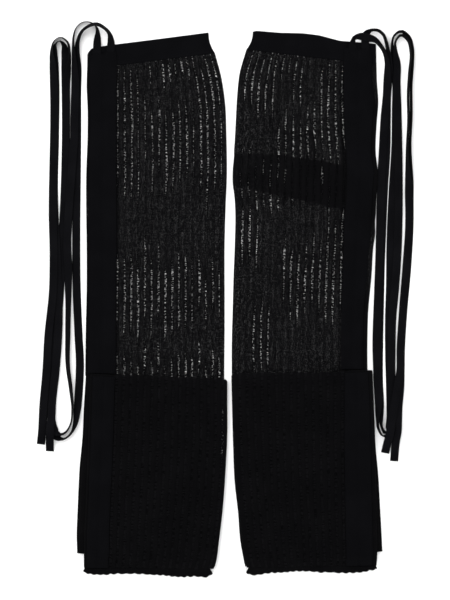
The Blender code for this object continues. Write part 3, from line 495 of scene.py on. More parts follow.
def tube_section(s, out, r, width):
    """Points round a flat tube with round sides, s round it and out from the middle of its
    wall: their shares of its width, and their heights above its middle."""
    edge = r / width
    angle = np.pi * np.mod(s, 1)
    past = (r + out) * np.sin(angle) / width
    up = (r + out) * np.cos(angle)
    faces = [s < 1, s < 2, s < 3]
    share = np.select(faces, [edge + s * (1 - 2 * edge), 1 - edge + past,
                              1 - edge - (s - 2) * (1 - 2 * edge)], edge - past)
    return share, np.select(faces, [r + out, up, -(r + out)], -up)


def smooth(t):
    """A soft step from 0 to 1."""
    return t * t * (3 - 2 * t)


class Lie:
    """How a tube lies: its rows, smoothed, the heights that it rests at, and, on a cuff, the
    fold at which it rolls over."""

    def __init__(self, rows, low=None, fold=None):
        table = np.array(rows, dtype=float)
        along = lengths((table[:, 0:2] + table[:, 2:4]) / 2)
        self.length = along[-1]
        self.places = np.linspace(0, self.length, 1 + int(self.length / READ_STEP))
        self.table = hermite(along, table, self.places)
        self.table[:, 5] = np.clip(self.table[:, 5], 0, TUCK_LIFT)
        self.low = low or (lambda x, y: 0 * x)
        self.fold = fold

    def read(self, v):
        """The row at v, in millimetres along the tube."""
        return Row(*(np.interp(v, self.places, column) for column in self.table.T))

    def width(self, v):
        row = self.read(v)
        return np.abs(row.inner_x - row.outer_x)

    def strip_share(self, v):
        """Where the strip's inner edge is, as a share of the tube's width."""
        row = self.read(v)
        return (row.strip_x - row.outer_x) / (row.inner_x - row.outer_x)

    def at(self, v, share):
        """x and y at a share of the tube's width."""
        row = self.read(v)
        x = row.outer_x + (row.inner_x - row.outer_x) * share
        y = row.outer_y + (row.inner_y - row.outer_y) * share
        if self.fold and self.fold.step:
            past = share - self.strip_share(v) + self.fold.step_width / 2
            near = np.clip(past / self.fold.step_width, 0, 1)
            fade = np.clip(1 - v / self.fold.step_length, 0, 1)
            y = y + self.fold.step * (1 - smooth(near)) * fade
        return x, y

    def point(self, v, s, out):
        """Points on the tube: v along it, out from the middle of its wall, and s round it,
        0 to 1 over the front, to 2 round the inner side, to 3 over the back, to 4."""
        v, s, out = np.broadcast_arrays(np.asarray(v, float), s, out)
        read = np.maximum(v, self.fold.start if self.fold else 0)
        row = self.read(read)
        width = np.hypot(row.inner_x - row.outer_x, row.inner_y - row.outer_y)
        r = (FLAT + row.lift - WALL) / 2
        share, rise = tube_section(np.mod(s, 4), out, r, width)
        x, y = self.at(read, share)
        z = self.low(x, y) + WALL / 2 + r + rise
        if self.fold:
            turn = (read - v) / self.fold.radius
            radius = z - self.fold.centre
            y = y + radius * np.sin(turn)
            z = self.fold.centre + radius * np.cos(turn)
        return np.stack([x, y, z], -1)


def wobble(seed, v, size, length):
    """A slow, seeded wandering along a ladder."""
    chance = np.random.default_rng(seed + SEED_START)
    knots = np.arange(-length, LONGEST + length, length)
    return size * np.interp(v, knots, chance.uniform(-1, 1, len(knots)))


def band_step(value, low, high, soft):
    """1 inside a band, fading to 0 over its soft edges."""
    rising = np.clip((value - low) / soft + 0.5, 0, 1)
    falling = np.clip((high - value) / soft + 0.5, 0, 1)
    return smooth(rising * falling)


def glow_at(glows, x, y):
    """How well the front's and the back's ladders line up at a place, 0 to 1: they do in
    these boxes, in millimetres, whose lower and upper edges fade over the soft length."""
    best = 0 * x
    for glow in glows:
        best = np.maximum(best, band_step(x, glow.left, glow.right, GLOW_SIDE)
                          * band_step(y, glow.bottom, glow.top, glow.soft))
    return best


def sheerness(glows, glints):
    """How much light comes through the ribs, painted into their colour as pale specks: most where
    back ladders lie behind them.
    """
    def at(x, y):
        inside = np.clip((SHEER_REACH - np.abs(x)) / SHEER_EDGE, 0, 1)
        return inside * (1 - RIB_HOLES * glow_at(glows, x, y)) + glow_at(glints, x, y)
    return at


def front_ladder(lie, ribs, k, v):
    """Where the front's ladder k is at v, as a share of the front."""
    start = lie.strip_share(v) + FIRST_LADDER / lie.width(v)
    share = start + (1 - start) * k / ribs
    return share + wobble(7 * k + 3, v, *FRONT_WANDER) * (k > 0)


def back_ladder(lie, ribs, k, v, glows, seed, offset):
    """Where the back's ladder k is, as a share from the outer side."""
    front = front_ladder(lie, ribs, k, v)
    x, y = lie.at(v, front)
    repeat = (1 - lie.strip_share(v)) / ribs
    start = wobble(seed + 11 * k, 0 * v, *START_WANDER)
    match = MATCH + wobble(seed + 5 * k, v, *MATCH_WANDER)
    stray = offset * (1 - glow_at(glows, x, y + start) * match)
    return front - repeat * (stray + wobble(seed + 3 * k, v, *BACK_WANDER))


RIB_LOOP = (  # round one rib: share across it, and how far out, 1 on its crest, -1 inside
    (0.0, 0.0), (0.05, 0.5), (0.2, 0.92), (0.5, 1.0), (0.8, 0.92), (0.95, 0.5), (1.0, 0.0),
    (0.93, -0.6), (0.6, -1.0), (0.4, -1.0), (0.07, -0.6),
)
INNER_SIDE = (0.998, 1.25, 1.5, 1.75, 2.002)  # s round the tube's two round sides
OUTER_SIDE = (3.0, 3.25, 3.5, 3.75, 4.0, 4.004)
TO_FIRST_LADDER = (0.2, 0.4, 0.6, 0.8, 1.0)  # shares of the way under the strip


def rib(lie, v, first, last, rise):
    """One rib between two lines, given as s along v, with its crests so far out."""
    loop = np.array(RIB_LOOP)
    s = first[:, None] + (last - first)[:, None] * loop[None, :, 0]
    out = np.where(loop[:, 1] > 0, loop[:, 1] * rise, loop[:, 1] * WALL / 2)
    return closed_part(lie.point(v[:, None], s, out[None, :]))


def side_wall(lie, v, stops):
    """The knit from one ladder to the next round a side of the tube, through these stops."""
    s = np.stack([np.broadcast_to(stop, v.shape) for stop in stops], 1)
    count = s.shape[1]
    swell = np.minimum(1, np.minimum(np.arange(count), np.arange(count)[::-1]) / 2)
    outer = swell * WALL / 2
    return closed_part(lie.point(v[:, None], np.concatenate([s, s[:, -2:0:-1]], 1),
                                 np.concatenate([outer, -outer[-2:0:-1]])[None, :]))


def rungs(lie, v, centre, half, out, seed, caught=CAUGHT_SHARE):
    """The bare yarn across one ladder: a small three-sided bar for each course."""
    chance = np.random.default_rng(seed + SEED_START)
    place = np.arange(v[0] + COURSE, v[-1] - COURSE / 2, COURSE)
    count = len(place)
    place = place + chance.uniform(-RUNG_STRAY, RUNG_STRAY, count)
    slant = chance.normal(0, RUNG_SLANT, (2, count))
    middle = np.interp(place, v, centre)
    reach = np.interp(place, v, half)
    thick = chance.uniform(THIN_RUNG, THICK_RUNG, count)
    loop = chance.uniform(0, 1, count) < caught
    near_seam = place < SEAM_CLOSE
    thick = np.where(loop | near_seam, CAUGHT_RUNG, thick)
    short = loop & (caught < CAUGHT_MANY) & ~near_seam
    side = np.where(chance.uniform(0, 1, count) < 0.5, -1, 1)
    middle = middle + np.where(short, side * reach * (1 - CAUGHT_REACH), 0)
    reach = np.where(short, reach * CAUGHT_REACH, reach)
    height = out + chance.uniform(-RUNG_LIFT, RUNG_LIFT, count)
    corners = []
    for end, away in ((0, -reach), (1, reach)):
        tip = lie.point(place + slant[end], middle + away, height)
        for turn in np.radians((90, 210, 330)):
            corner = np.array([0.0, math.cos(turn), RUNG_FLATNESS * math.sin(turn)])
            corners.append(tip + thick[:, None] * corner)
    base = 6 * np.arange(count)[:, None]
    faces = []
    for face in ((0, 1, 4, 3), (1, 2, 5, 4), (2, 0, 3, 5), (0, 2, 1), (3, 4, 5)):
        faces += (base + np.array(face)).tolist()
    return Part(np.stack(corners, 1).reshape(-1, 3), faces, 1.0)


def sheer_tube(lie, ribs, glows, seed, offset=OFFSET, caught=CAUGHT_SHARE):
    """The closed parts of a ribbed tube: ribs, rungs, and the walls round its two sides."""
    start = -lie.fold.start * lie.fold.reach if lie.fold else 0
    v = np.linspace(start, lie.length, int(lie.length / ROW_STEP))
    if lie.fold:
        v = np.concatenate([np.linspace(start, lie.fold.start, FOLD_ROWS),
                            v[v > lie.fold.start + 1]])
    half = LADDER / 2 / lie.width(v)
    bite = half * (1 + 2 * BITE / LADDER)
    count = int(ribs) + 1
    parts = []
    front = [front_ladder(lie, ribs, k, v) for k in range(count)]
    for k in range(count):
        parts.append(rungs(lie, v, front[k], bite, FRONT_RUNGS, seed + k, caught))
        if k:
            parts.append(rib(lie, v, front[k - 1] + half, front[k] - half,
                             WALL / 2 + RIB_RISE))
    strip = lie.strip_share(0.0)
    first = -int(strip * ribs / (1 - strip) - BACK_MARGIN)
    back = {k: 3 - back_ladder(lie, ribs, k, v, glows, seed, offset)
            for k in range(first, count)}
    for k in back:
        parts.append(rungs(lie, v, back[k], bite, 0.0, seed + BACK_SEED + k))
        if k > first:
            parts.append(rib(lie, v, back[k] + half, back[k - 1] - half, WALL / 2))
    near, far = front[-1] + half, back[count - 1] - half
    parts.append(side_wall(lie, v, [near, (near + 1) / 2, *INNER_SIDE, (2 + far) / 2, far]))
    near, far = back[first] + half, 4 + front[0] - half
    parts.append(side_wall(lie, v, [near, (near + 3) / 2, *OUTER_SIDE,
                                    *(4 + (far - 4) * share for share in TO_FIRST_LADDER)]))
    return parts


def tuck_edge(x, terms):
    return terms[0] + x * (terms[1] + x * terms[2])


def paint_rung_light(colour, place, knit):
    """The yarn's colour, with painted light on the rungs that lifts the shade in the ladders."""
    bare = place.node("ShaderNodeAttribute", {"attribute_name": "bare"}, out="Fac")
    return place.node("ShaderNodeVectorMath", {"operation": "SCALE"},
                      {0: colour, "Scale": 1 + bare * (RUNG_PAINTED_LIGHT - 1)})


def paint_floor_light(colour, place, knit):
    """That colour, with painted light in the knit's small holes: pale specks that stand in for the
    floor seen through them, but less where the tuck lies behind them on the right leg."""
    x = place.part("X") / MM
    y = place.part("Y") / MM
    tuck = (tuck_edge(x, TUCK_TOP) - y).step(0, 1) * (y - tuck_edge(x, TUCK_BOTTOM)).step(0, 1)
    veil = TUCK_VEIL + x.step(*VEIL_FADE) * (1 - TUCK_VEIL)
    sheer = place.node("ShaderNodeAttribute", {"attribute_name": "sheer"}, out="Fac")
    drawn = place.node("ShaderNodeVectorMath", {"operation": "MULTIPLY"},
                       {0: place, 1: (1.0, STREAK_LENGTH, 1.0)})
    streak = drawn.noise(STREAK_GRAIN, 0.0).step(*STREAK_RANGE)
    # Painted light: pale specks in the knit's small holes, standing in for the floor seen through
    # them.
    holes = place.noise(HOLE_GRAIN, 1.0).step(*HOLE_RANGE) * (STREAK_LOW + streak * STREAK_RISE)
    holes = holes * (HOLE_DEPTH[1] - knit).step(0.0, HOLE_DEPTH[1] - HOLE_DEPTH[0])
    shown = holes * (1 - tuck * x.step(0, 1) * veil) * sheer
    return shown.mix(paint_rung_light(colour, place, knit), PAINTED_FLOOR_LIGHT)


def piece(name, parts, material, node, sheer=None):
    """A piece made of closed parts, in millimetres. sheer tells from x and y how much light comes
    through it there, which its material paints into the colour as pale specks."""
    points = np.concatenate([part.points for part in parts])
    faces = []
    bare = []
    for part in parts:
        faces += [[len(bare) + corner for corner in face] for face in part.faces]
        bare += [part.bare] * len(part.points)
    mesh = bpy.data.meshes.new(name)
    mesh.from_pydata((points * MM).tolist(), [], faces)
    mesh.attributes.new("bare", "FLOAT", "POINT").data.foreach_set("value", bare)
    if sheer:
        shown = mesh.attributes.new("sheer", "FLOAT", "POINT")
        shown.data.foreach_set("value", sheer(points[:, 0], points[:, 1]))
    return add_piece(mesh, material, node, KNIT_SHARP)


rib_knit = knit_material("rib_knit", RIB_DARK, RIB_LIGHT, RIB_STITCH, RIB_RELIEF,
                         dress=paint_rung_light)
sheer_knit = knit_material("sheer_knit", RIB_DARK, RIB_LIGHT, RIB_STITCH, RIB_RELIEF,
                           dress=paint_floor_light)
PANELS = {"left": Lie(LEFT_PANEL), "right": Lie(RIGHT_PANEL)}
for side, glows, seed in (("left", LEFT_GLOWS, 11), ("right", RIGHT_GLOWS, 57)):
    lie = PANELS[side]
    panel = piece(side + "_sheer_panel", sheer_tube(lie, RIBS[side], glows, seed), sheer_knit,
                  side + "_leg_panel", sheerness(glows, EDGE_GLINTS[side]))


# The tuck: on the right leg a pleat of the same knit has slipped inside the tube and lies
# there between its two walls, so a dark band runs across the leg. In a few places its own
# ladders happen to lie under the leg's ladders, and a little light comes through.
SLIT = 1.15  # half the width of such an opening
SLIT_SHUT = 0.02  # and of a ladder that is shut
SLIT_SOFT = 3
Slit = namedtuple("Slit", "ladder bottom top")
SLITS = (Slit(14, 129, 145), Slit(13, 114, 149), Slit(12, 132, 152), Slit(11, 140, 158),
         Slit(10, 128, 160), Slit(9, 130, 160), Slit(8, 134, 148), Slit(3, 132, 150),
         Slit(4, 115, 125))
TUCK_LOOP = ((0.0, 0.5), (0.02, 0.78), (0.12, 0.97), (0.5, 1.0), (0.88, 0.97), (0.98, 0.78),
             (1.0, 0.5), (0.98, 0.22), (0.88, 0.03), (0.12, 0.03), (0.02, 0.22))
TUCK_ENDS = (0.015, 0.985)  # its two ends, as shares of the leg's width
TUCK_SAMPLES = 1400
TUCK_ROWS = 34
TUCK_DOWN = np.concatenate([[0.0, 0.012], np.linspace(0.035, 0.965, TUCK_ROWS), [0.988, 1.0]])
TUCK_SWELL = np.array([0.2, 0.75] + [1.0] * TUCK_ROWS + [0.75, 0.2])
TUCK_LADDERS = int(RIBS["right"]) + 1


def tuck_share(lie, k, v):
    """Where line k down the tuck is at v: its outer end, the leg's ladders, its inner end."""
    if 0 <= k < TUCK_LADDERS:
        return front_ladder(lie, RIBS["right"], k, v)
    return 0 * v + TUCK_ENDS[k > 0]


def tuck_line(lie, k):
    """v all the way down the tuck along line k."""
    v = np.linspace(0, lie.length, TUCK_SAMPLES)
    x, y = lie.at(v, tuck_share(lie, k, v))
    start = np.interp(0, tuck_edge(x, TUCK_TOP) - y, v)
    end = np.interp(0, tuck_edge(x, TUCK_BOTTOM) - y, v)
    return start + (end - start) * TUCK_DOWN


lie = PANELS["right"]
edges = []
for k in range(-1, TUCK_LADDERS + 1):
    v = tuck_line(lie, k)
    share = tuck_share(lie, k, v)
    _, y = lie.at(v, share)
    opening = 0 * v
    for slit in SLITS:
        if slit.ladder == k:
            opening = opening + band_step(y, slit.bottom, slit.top, SLIT_SOFT)
    edges.append((v, share, (SLIT * np.minimum(opening, 1) + SLIT_SHUT) / lie.width(v)))
loop = np.array(TUCK_LOOP)
across = loop[None, :, 0]
parts = []
for (v0, before, half0), (v1, after, half1) in zip(edges, edges[1:]):
    v = v0[:, None] + (v1 - v0)[:, None] * across
    share = (before + half0)[:, None] + (after - half1 - before - half0)[:, None] * across
    x, y = lie.at(v, share)
    low = WALL + GAP / 3
    high = WALL + GAP * 2 / 3 + np.maximum(lie.read(v).lift - GAP, 0)
    level = 0.5 + (loop[None, :, 1] - 0.5) * TUCK_SWELL[:, None]
    parts.append(closed_part(np.stack([x, y, low + (high - low) * level], -1)))
tuck = piece("right_inner_tuck", parts, rib_knit, "right_tuck")


# Top bands: a plain, close knit, doubled and joined round each tube's upper end with a flat
# overlocked seam. The band is opaque, and its upper edge is a soft fold.
PLAIN_STITCH = (1.0, 0.9)
PLAIN_RELIEF = 0.45
PLAIN_DARK = (0.0013, 0.0013, 0.0016, 1.0)
PLAIN_LIGHT = (0.003, 0.003, 0.0037, 1.0)
BAND_WAIST = 2.0  # how far its inner side is drawn in at half its height
BAND_STEPS = (46, 6)  # across it, and round each of its sides
BAND_ROWS = (  # share of its height, and how far out its surface is
    (0.0, 0.25), (0.012, 0.5), (0.04, 0.62), (0.09, 0.62), (0.13, 0.45), (0.3, 0.45),
    (0.5, 0.45), (0.7, 0.45), (0.86, 0.45), (0.96, 0.45), (0.99, 0.34), (1.0, 0.1),
)
BAND_RIPPLE = 0.09  # the ribs' pull shows in its lower half
BAND_RIPPLES = 1.2
BAND_CALM = 0.5
BAND_MOST = WALL / 2 + 0.12
BAND_BACK = 0.88
BAND_INSIDE = -0.48
BAND_LIP = 0.3
SEAM_GAP = 0.04
LEFT_TOP_EDGE = (
    (-155.8, 274.0), (-154.0, 278.5), (-148.0, 281.2), (-131.5, 283.7),
    (-76.0, 290.7), (-23.5, 297.5),
)
RIGHT_TOP_EDGE = (
    (160.5, 285.0), (146.0, 286.5), (121.0, 288.5), (98.5, 294.5),
    (81.0, 296.7), (55.5, 297.3), (29.0, 299.5), (26.0, 298.5),
)
TOP_EDGES = {"left": LEFT_TOP_EDGE, "right": RIGHT_TOP_EDGE}


def band_at(side, height, share):
    """x and y on a top band, at a share of its height and of its width."""
    edge = np.array(TOP_EDGES[side])
    seam_x, seam_y = PANELS[side].at(0.0, share)
    top_x = edge[0, 0] + (edge[-1, 0] - edge[0, 0]) * share
    order = np.argsort(edge[:, 0])
    top_y = np.interp(top_x, edge[order, 0], edge[order, 1])
    away = 1 if side == "right" else -1
    waist = away * BAND_WAIST * np.sin(np.pi * height) * share**2
    return (seam_x + (top_x - seam_x) * height + waist,
            seam_y + SEAM_GAP + (top_y - seam_y - SEAM_GAP) * height)


def round_tube(across, fold):
    """s all round a flat tube: over the front, the inner side, the back and the outer side."""
    front = np.linspace(0, 1, across, endpoint=False)
    side = np.linspace(1, 2, fold, endpoint=False)
    return np.concatenate([front, side, 2 + front, 2 + side])


def tube_ring(place, s, out, low):
    """A ring round a plain flat tube whose width runs along place(share), on what is low."""
    r = (FLAT - WALL) / 2
    x0, y0 = place(np.zeros_like(s))
    x1, y1 = place(np.ones_like(s))
    share, rise = tube_section(s, out, r, np.hypot(x1 - x0, y1 - y0))
    x, y = place(share)
    return np.stack([x, y, low(x, y) + WALL / 2 + r + rise], -1)


def open_tube(outer, inner):
    """A part with an outer and an inner surface, joined at both open ends."""
    quads, index, after = ring_faces(*np.shape(outer)[:2])
    more = index.size
    faces = quads + (np.array(quads) + more).tolist()
    for end in (0, -1):
        faces += np.stack([index[end], after[end], after[end] + more, index[end] + more],
                          -1).tolist()
    return Part(np.concatenate([np.reshape(outer, (-1, 3)), np.reshape(inner, (-1, 3))]), faces)


plain_knit = knit_material("plain_knit", PLAIN_DARK, PLAIN_LIGHT, PLAIN_STITCH, PLAIN_RELIEF)
for side in ("left", "right"):
    low = PANELS[side].low
    around = round_tube(*BAND_STEPS)
    ripple = BAND_RIPPLE * np.sin(2 * np.pi * around * RIBS[side] * BAND_RIPPLES)
    outer = []
    inner = []
    for height, out in BAND_ROWS:
        place = partial(band_at, side, height)
        fade = max(0.0, 1 - height / BAND_CALM)
        swell = np.where(np.mod(around, 2) < 1, out + ripple * fade, out)
        swell = np.minimum(swell, BAND_MOST) * np.where(np.floor(around) == 2, BAND_BACK, 1)
        outer.append(tube_ring(place, around, swell, low))
        inner.append(tube_ring(place, around, BAND_INSIDE + BAND_LIP * (height in (0.0, 1.0)),
                               low))
    band = piece(side + "_band", [open_tube(outer, inner)], plain_knit,
                 side + "_top_band")


# Channel strips: a plain strip down the front of each leg near its outer side, stitched on
# along both edges and the middle, so that it holds two tunnels for the ties. It shows again
# on the cuff. Its ends on the band are the open mouths that the ties come out of.
STRIP_STEPS = 31
STRIP_BASE = 0.5
STRIP_ROOF = 0.5
STRIP_SHY = 1.0  # it stops so far short of the rows' strip_x
STRIP_INSETS = {"left": 2.4, "right": 4.6}  # from the tube's outer side
STRIP_ON_BAND = (0.66, 0.58, 0.5, 0.35, 0.2, 0.08, 0.0)  # rows, as shares of the band's height
STRIP_START = 4.0
STRIP_ROWS = 80
LIP_ROWS = 2  # its first rows are roof alone, over the end of each tie
LIP_RISE = 1.3
TUNNEL_RISE = 0.8
TUNNEL_UNEVEN = 0.12
TUNNEL_BEND = 0.9
TUNNEL_GAP = 0.05
TUNNEL_EDGE = 0.03  # its side and its width, as shares of the strip
TUNNEL_WIDTH = 0.44
TUNNEL_ROUND = 0.55
ROOF_EDGE = 0.35  # how thin the roof is at its edges
ROOF_SLOPE = 12
NOSE_BACK = 3.0  # it ends so far above the cuff's fold
NOSE_STEPS = {"left": 0.0, "right": 2.6}  # how far the strip makes that fold stand
STITCH_LINES = (0.045, 0.5, 0.955)
STITCH_START = 1.5
STITCH_PITCH = 3.1
STITCH_LENGTH = 2.3
STITCH_THICK = 0.26
STITCH_SINK = 0.12
STITCH_RIM = ((1.0, 0.0, 0.0), (0.0, 0.0, 0.9), (-1.0, 0.0, 0.0), (0.0, 0.0, -0.6))


def strip_row(side, lie, v, place):
    """Points across the strip's underside at v, in line with what place says."""
    width = lie.width(v)
    start = STRIP_INSETS[side] / width
    end = lie.strip_share(v) - STRIP_SHY / width
    x, y = place(start + (end - start) * np.linspace(0, 1, STRIP_STEPS))
    return np.stack([x, y, lie.low(x, y) + FLAT + GAP + lie.read(v).lift], -1)


def raised(rows, rise):
    """Rows of points, lifted by so much."""
    rows = rows.copy()
    rows[..., 2] += rise
    return rows


def seam_stitches(track):
    """Small stitches along a line of points, each a six-cornered bead of yarn."""
    run = lengths(track)
    starts = np.arange(STITCH_START, run[-1] - STITCH_LENGTH, STITCH_PITCH)
    heads, tails = (np.stack([np.interp(at, run, column) for column in track.T], -1)
                    for at in (starts, starts + STITCH_LENGTH))
    middle = (heads + tails) / 2
    sink = [0, 0, STITCH_SINK]
    corners = np.stack([heads - sink, tails - sink]
                       + [middle + STITCH_THICK * np.array(rim) for rim in STITCH_RIM], 1)
    first = 6 * np.arange(len(starts))[:, None]
    faces = []
    for a, b in ((2, 3), (3, 4), (4, 5), (5, 2)):
        faces += (first + np.array((0, a, b))).tolist()
        faces += (first + np.array((1, b, a))).tolist()
    return Part(corners.reshape(-1, 3), faces)


def strip_parts(rows, lip=0):
    """A base, a hollow roof of two arches, and the three lines of stitches, on rows of
    points. The first rows, as many as lip says, have no base and lie on the band."""
    base = np.array(rows)
    across = np.linspace(0, 1, STRIP_STEPS)
    row = np.arange(len(base))[:, None]
    arch = np.sin(np.pi * np.clip((np.mod(across, 0.5) - TUNNEL_EDGE) / TUNNEL_WIDTH, 0, 1))
    arch = (arch ** TUNNEL_ROUND)[None, :]
    rise = TUNNEL_RISE - TUNNEL_UNEVEN / 2 + TUNNEL_UNEVEN * np.sin(row * TUNNEL_BEND)
    rise = np.where(row < lip, LIP_RISE * arch, rise * arch + STRIP_BASE)
    edge = np.minimum(1, ROOF_SLOPE * np.minimum(across, 1 - across))[None, :]
    base_top = raised(base, STRIP_BASE)
    roof_low = raised(base, TUNNEL_GAP + rise)
    roof_top = raised(roof_low, STRIP_ROOF * (ROOF_EDGE + (1 - ROOF_EDGE) * edge))
    parts = [closed_part(np.concatenate([base_top[lip:], base[lip:, ::-1]], 1)),
             closed_part(np.concatenate([roof_top, roof_low[:, ::-1]], 1))]
    for line in STITCH_LINES:
        parts.append(seam_stitches(roof_top[:, int(round(line * (STRIP_STEPS - 1)))]))
    return parts


for side in ("left", "right"):
    lie = PANELS[side]
    rows = [strip_row(side, lie, 0.0, partial(band_at, side, height)) for height in STRIP_ON_BAND]
    stop = lie.length - NOSE_BACK - NOSE_STEPS[side] - 2 * GAP
    for v in np.linspace(STRIP_START, stop, STRIP_ROWS):
        rows.append(strip_row(side, lie, v, partial(lie.at, v)))
    strip = piece(side + "_strip", strip_parts(rows, LIP_ROWS), plain_knit,
                  side + "_channel")
    side + "_sheer_panel"


# Folded layers: below the fold each tube goes down, folds back up and comes down again. The
# two hidden layers show only at the sides and at the lower edge: they are one piece, as
# thick as two flat tubes, with a groove at its sides where the layers part.
CORE_HEIGHT = 2 * FLAT + GAP
LAYER_STEP = 2.7  # how far in from the lower layer's edge the upper one's lies
CORE_STEPS = 60
CORE_SPAN = (0.04, 0.96)
CORE_ROUND = 9
CORE_ROWS = 60
CORE_START = 2.2
CORE_END = 2.4
CORE_NOSE = ((0.0, 0.9, 0.7), (0.8, 0.0, 0.93))  # v, how far up, how high of the whole
CORE_TURNS = (70, 50, 32, 16, 5)  # degrees round its lower edge
LEFT_CORE = (
    Row(-158, -80.5, -7, -86.5),
    Row(-160, -112, -8, -117.5),
    Row(-161.5, -145, -9, -156),
    Row(-165, -183.5, -9.5, -205.5),
    Row(-167, -227.5, -12.5, -240.5),
    Row(-168, -255, -14, -266),
    Row(-167.5, -274.5, -15.5, -288.5),
)
RIGHT_CORE = (
    Row(153.5, -79, 2, -80.5),
    Row(159, -122, 3, -122),
    Row(160.5, -156, 4, -158),
    Row(163.5, -189, 5.5, -194),
    Row(165.5, -225, 9.5, -231),
    Row(167, -252, 12, -262),
    Row(168, -272.5, 17, -289),
)
CORES = {"left": LEFT_CORE, "right": RIGHT_CORE}


def core_ring(lie, v, back=0.0, squash=1.0, top=1.0):
    """A ring round the two layers at v, from their top round the inner side: moved back,
    squashed towards the middle of their height, and cut off at a share of it."""
    row = lie.read(v)
    width = math.hypot(row.inner_x - row.outer_x, row.inner_y - row.outer_y)
    r = FLAT / 2
    outline = []
    for base, inset in ((FLAT + GAP, LAYER_STEP), (0.0, 0.0)):
        for angle in np.radians(np.linspace(90, -90, CORE_ROUND)):
            outline.append((inset + r * (1 - math.cos(angle)), base + r * (1 + math.sin(angle))))
    outline = np.array(outline)
    flat = np.linspace(*CORE_SPAN, CORE_STEPS)
    share = np.concatenate([flat, 1 - outline[:, 0] / width, flat[::-1],
                            outline[::-1, 0] / width])
    up = np.concatenate([np.full(CORE_STEPS, CORE_HEIGHT), outline[:, 1],
                         np.zeros(CORE_STEPS), outline[::-1, 1]])
    x, y = lie.at(v, share)
    middle = CORE_HEIGHT / 2
    return np.stack([x, y + back,
                     middle + (np.minimum(up, CORE_HEIGHT * top) - middle) * squash], -1)


for side in ("left", "right"):
    lie = Lie(CORES[side])
    grid = [core_ring(lie, v, back, 1.0, top) for v, back, top in CORE_NOSE]
    grid += [core_ring(lie, v) for v in np.linspace(CORE_START, lie.length - CORE_END, CORE_ROWS)]
    for angle in np.radians(CORE_TURNS):
        grid.append(core_ring(lie, lie.length, CORE_END * (1 - math.cos(angle)),
                              math.sin(angle)))
    layers = piece(side + "_folded_layers", [closed_part(np.array(grid))], rib_knit,
                   side + "_folded_core")


# Cuffs: the tube comes down once more over the hidden layers. Its upper edge is a rolled
# fold, its ribs and ladders lie over black cloth and so show only faintly, and past the
# hidden layers it hangs over their edge down to the surface.
CUFF_REST = CORE_HEIGHT + GAP
CUFF_OFFSET = 0.5
CUFF_CAUGHT = 0.6
CUFF_STRIP_ROWS = 54
CUFF_STRIP_END = 0.1
NOSE_DEPTH = 2.4
DRAPE_REACH = 12.0  # it sinks to the surface over this length
LEFT_CUFF = (
    Row(-152, -77, -3, -83, -124.5),
    Row(-153, -106.5, -3, -108.5, -125.5),
    Row(-154, -139.5, -3, -142.5, -126.5),
    Row(-155.5, -181, -5, -185, -128),
    Row(-157, -220, -8, -226, -130),
    Row(-158.5, -252, -12, -260, -131),
    Row(-159, -275, -15.5, -284.5, -131.5),
    Row(-159.3, -280, -16.3, -286.8, -132),
    Row(-159.5, -285, -17, -288.8, -132),
    Row(-159.5, -290.5, -18, -291, -132),
)
RIGHT_CUFF = (
    Row(156, -75.5, 3.5, -77, 125),
    Row(158, -117.5, 4.5, -119.5, 125),
    Row(159, -155, 6, -158, 125),
    Row(159.5, -188, 7.5, -193, 125.5),
    Row(160.5, -222, 11, -229, 126),
    Row(161, -250, 14.5, -262, 126.5),
    Row(161.5, -272.5, 17.8, -284.5, 127),
    Row(161.5, -277.5, 18.4, -286.5, 127),
    Row(161.5, -282.5, 19, -288, 127),
    Row(161, -288, 19.5, -289.5, 127),
)
CUFFS = {"left": LEFT_CUFF, "right": RIGHT_CUFF}
CUFF_GLOWS = {"left": (Glow(-13, -1, -206, -117),), "right": ()}
# Where a cuff starts to roll over, how round, about what height and how far round, and how
# far, over what share of the width and what length, the stiff strip makes the fold stand.
Fold = namedtuple("Fold", "start radius centre reach step step_width step_length")


def drape(side):
    """The height of what the cuff lies on, past the hidden layers' edges too."""
    table = np.array(CORES[side])
    last = table[-1]
    inward = 1.0 if side == "left" else -1.0

    def height(x, y):
        share = (x - last[0]) / (last[2] - last[0])
        below = np.maximum(0, last[1] + (last[3] - last[1]) * share - y)
        side_x = np.interp(y, table[::-1, 3], table[::-1, 2])
        beyond = np.maximum(0, (x - side_x) * inward)
        gone = np.clip(np.hypot(below, beyond) / DRAPE_REACH, 0, 1)
        return CUFF_REST * (1 - smooth(gone))
    return height


cuff_lies = {}
for side, seed in (("left", 211), ("right", 257)):
    fold = Fold(start=NOSE_DEPTH, radius=NOSE_DEPTH - WALL / 2,
                centre=CUFF_REST + FLAT - NOSE_DEPTH, reach=0.88,
                step=NOSE_STEPS[side], step_width=0.04, step_length=20)
    lie = Lie(CUFFS[side], drape(side), fold)
    cuff_lies[side] = lie
    cuff = piece(side + "_cuff", sheer_tube(lie, RIBS[side], CUFF_GLOWS[side], seed,
                                            CUFF_OFFSET, CUFF_CAUGHT),
                 rib_knit, side + "_cuff_panel")
    side + "_folded_layers"
    rows = [strip_row(side, lie, v, partial(lie.at, v))
            for v in np.linspace(NOSE_DEPTH, lie.length - CUFF_STRIP_END, CUFF_STRIP_ROWS)]
    cuff_strip = piece(side + "_cuff_strip", strip_parts(rows), plain_knit,
                       side + "_cuff_channel")
    side + "_cuff"


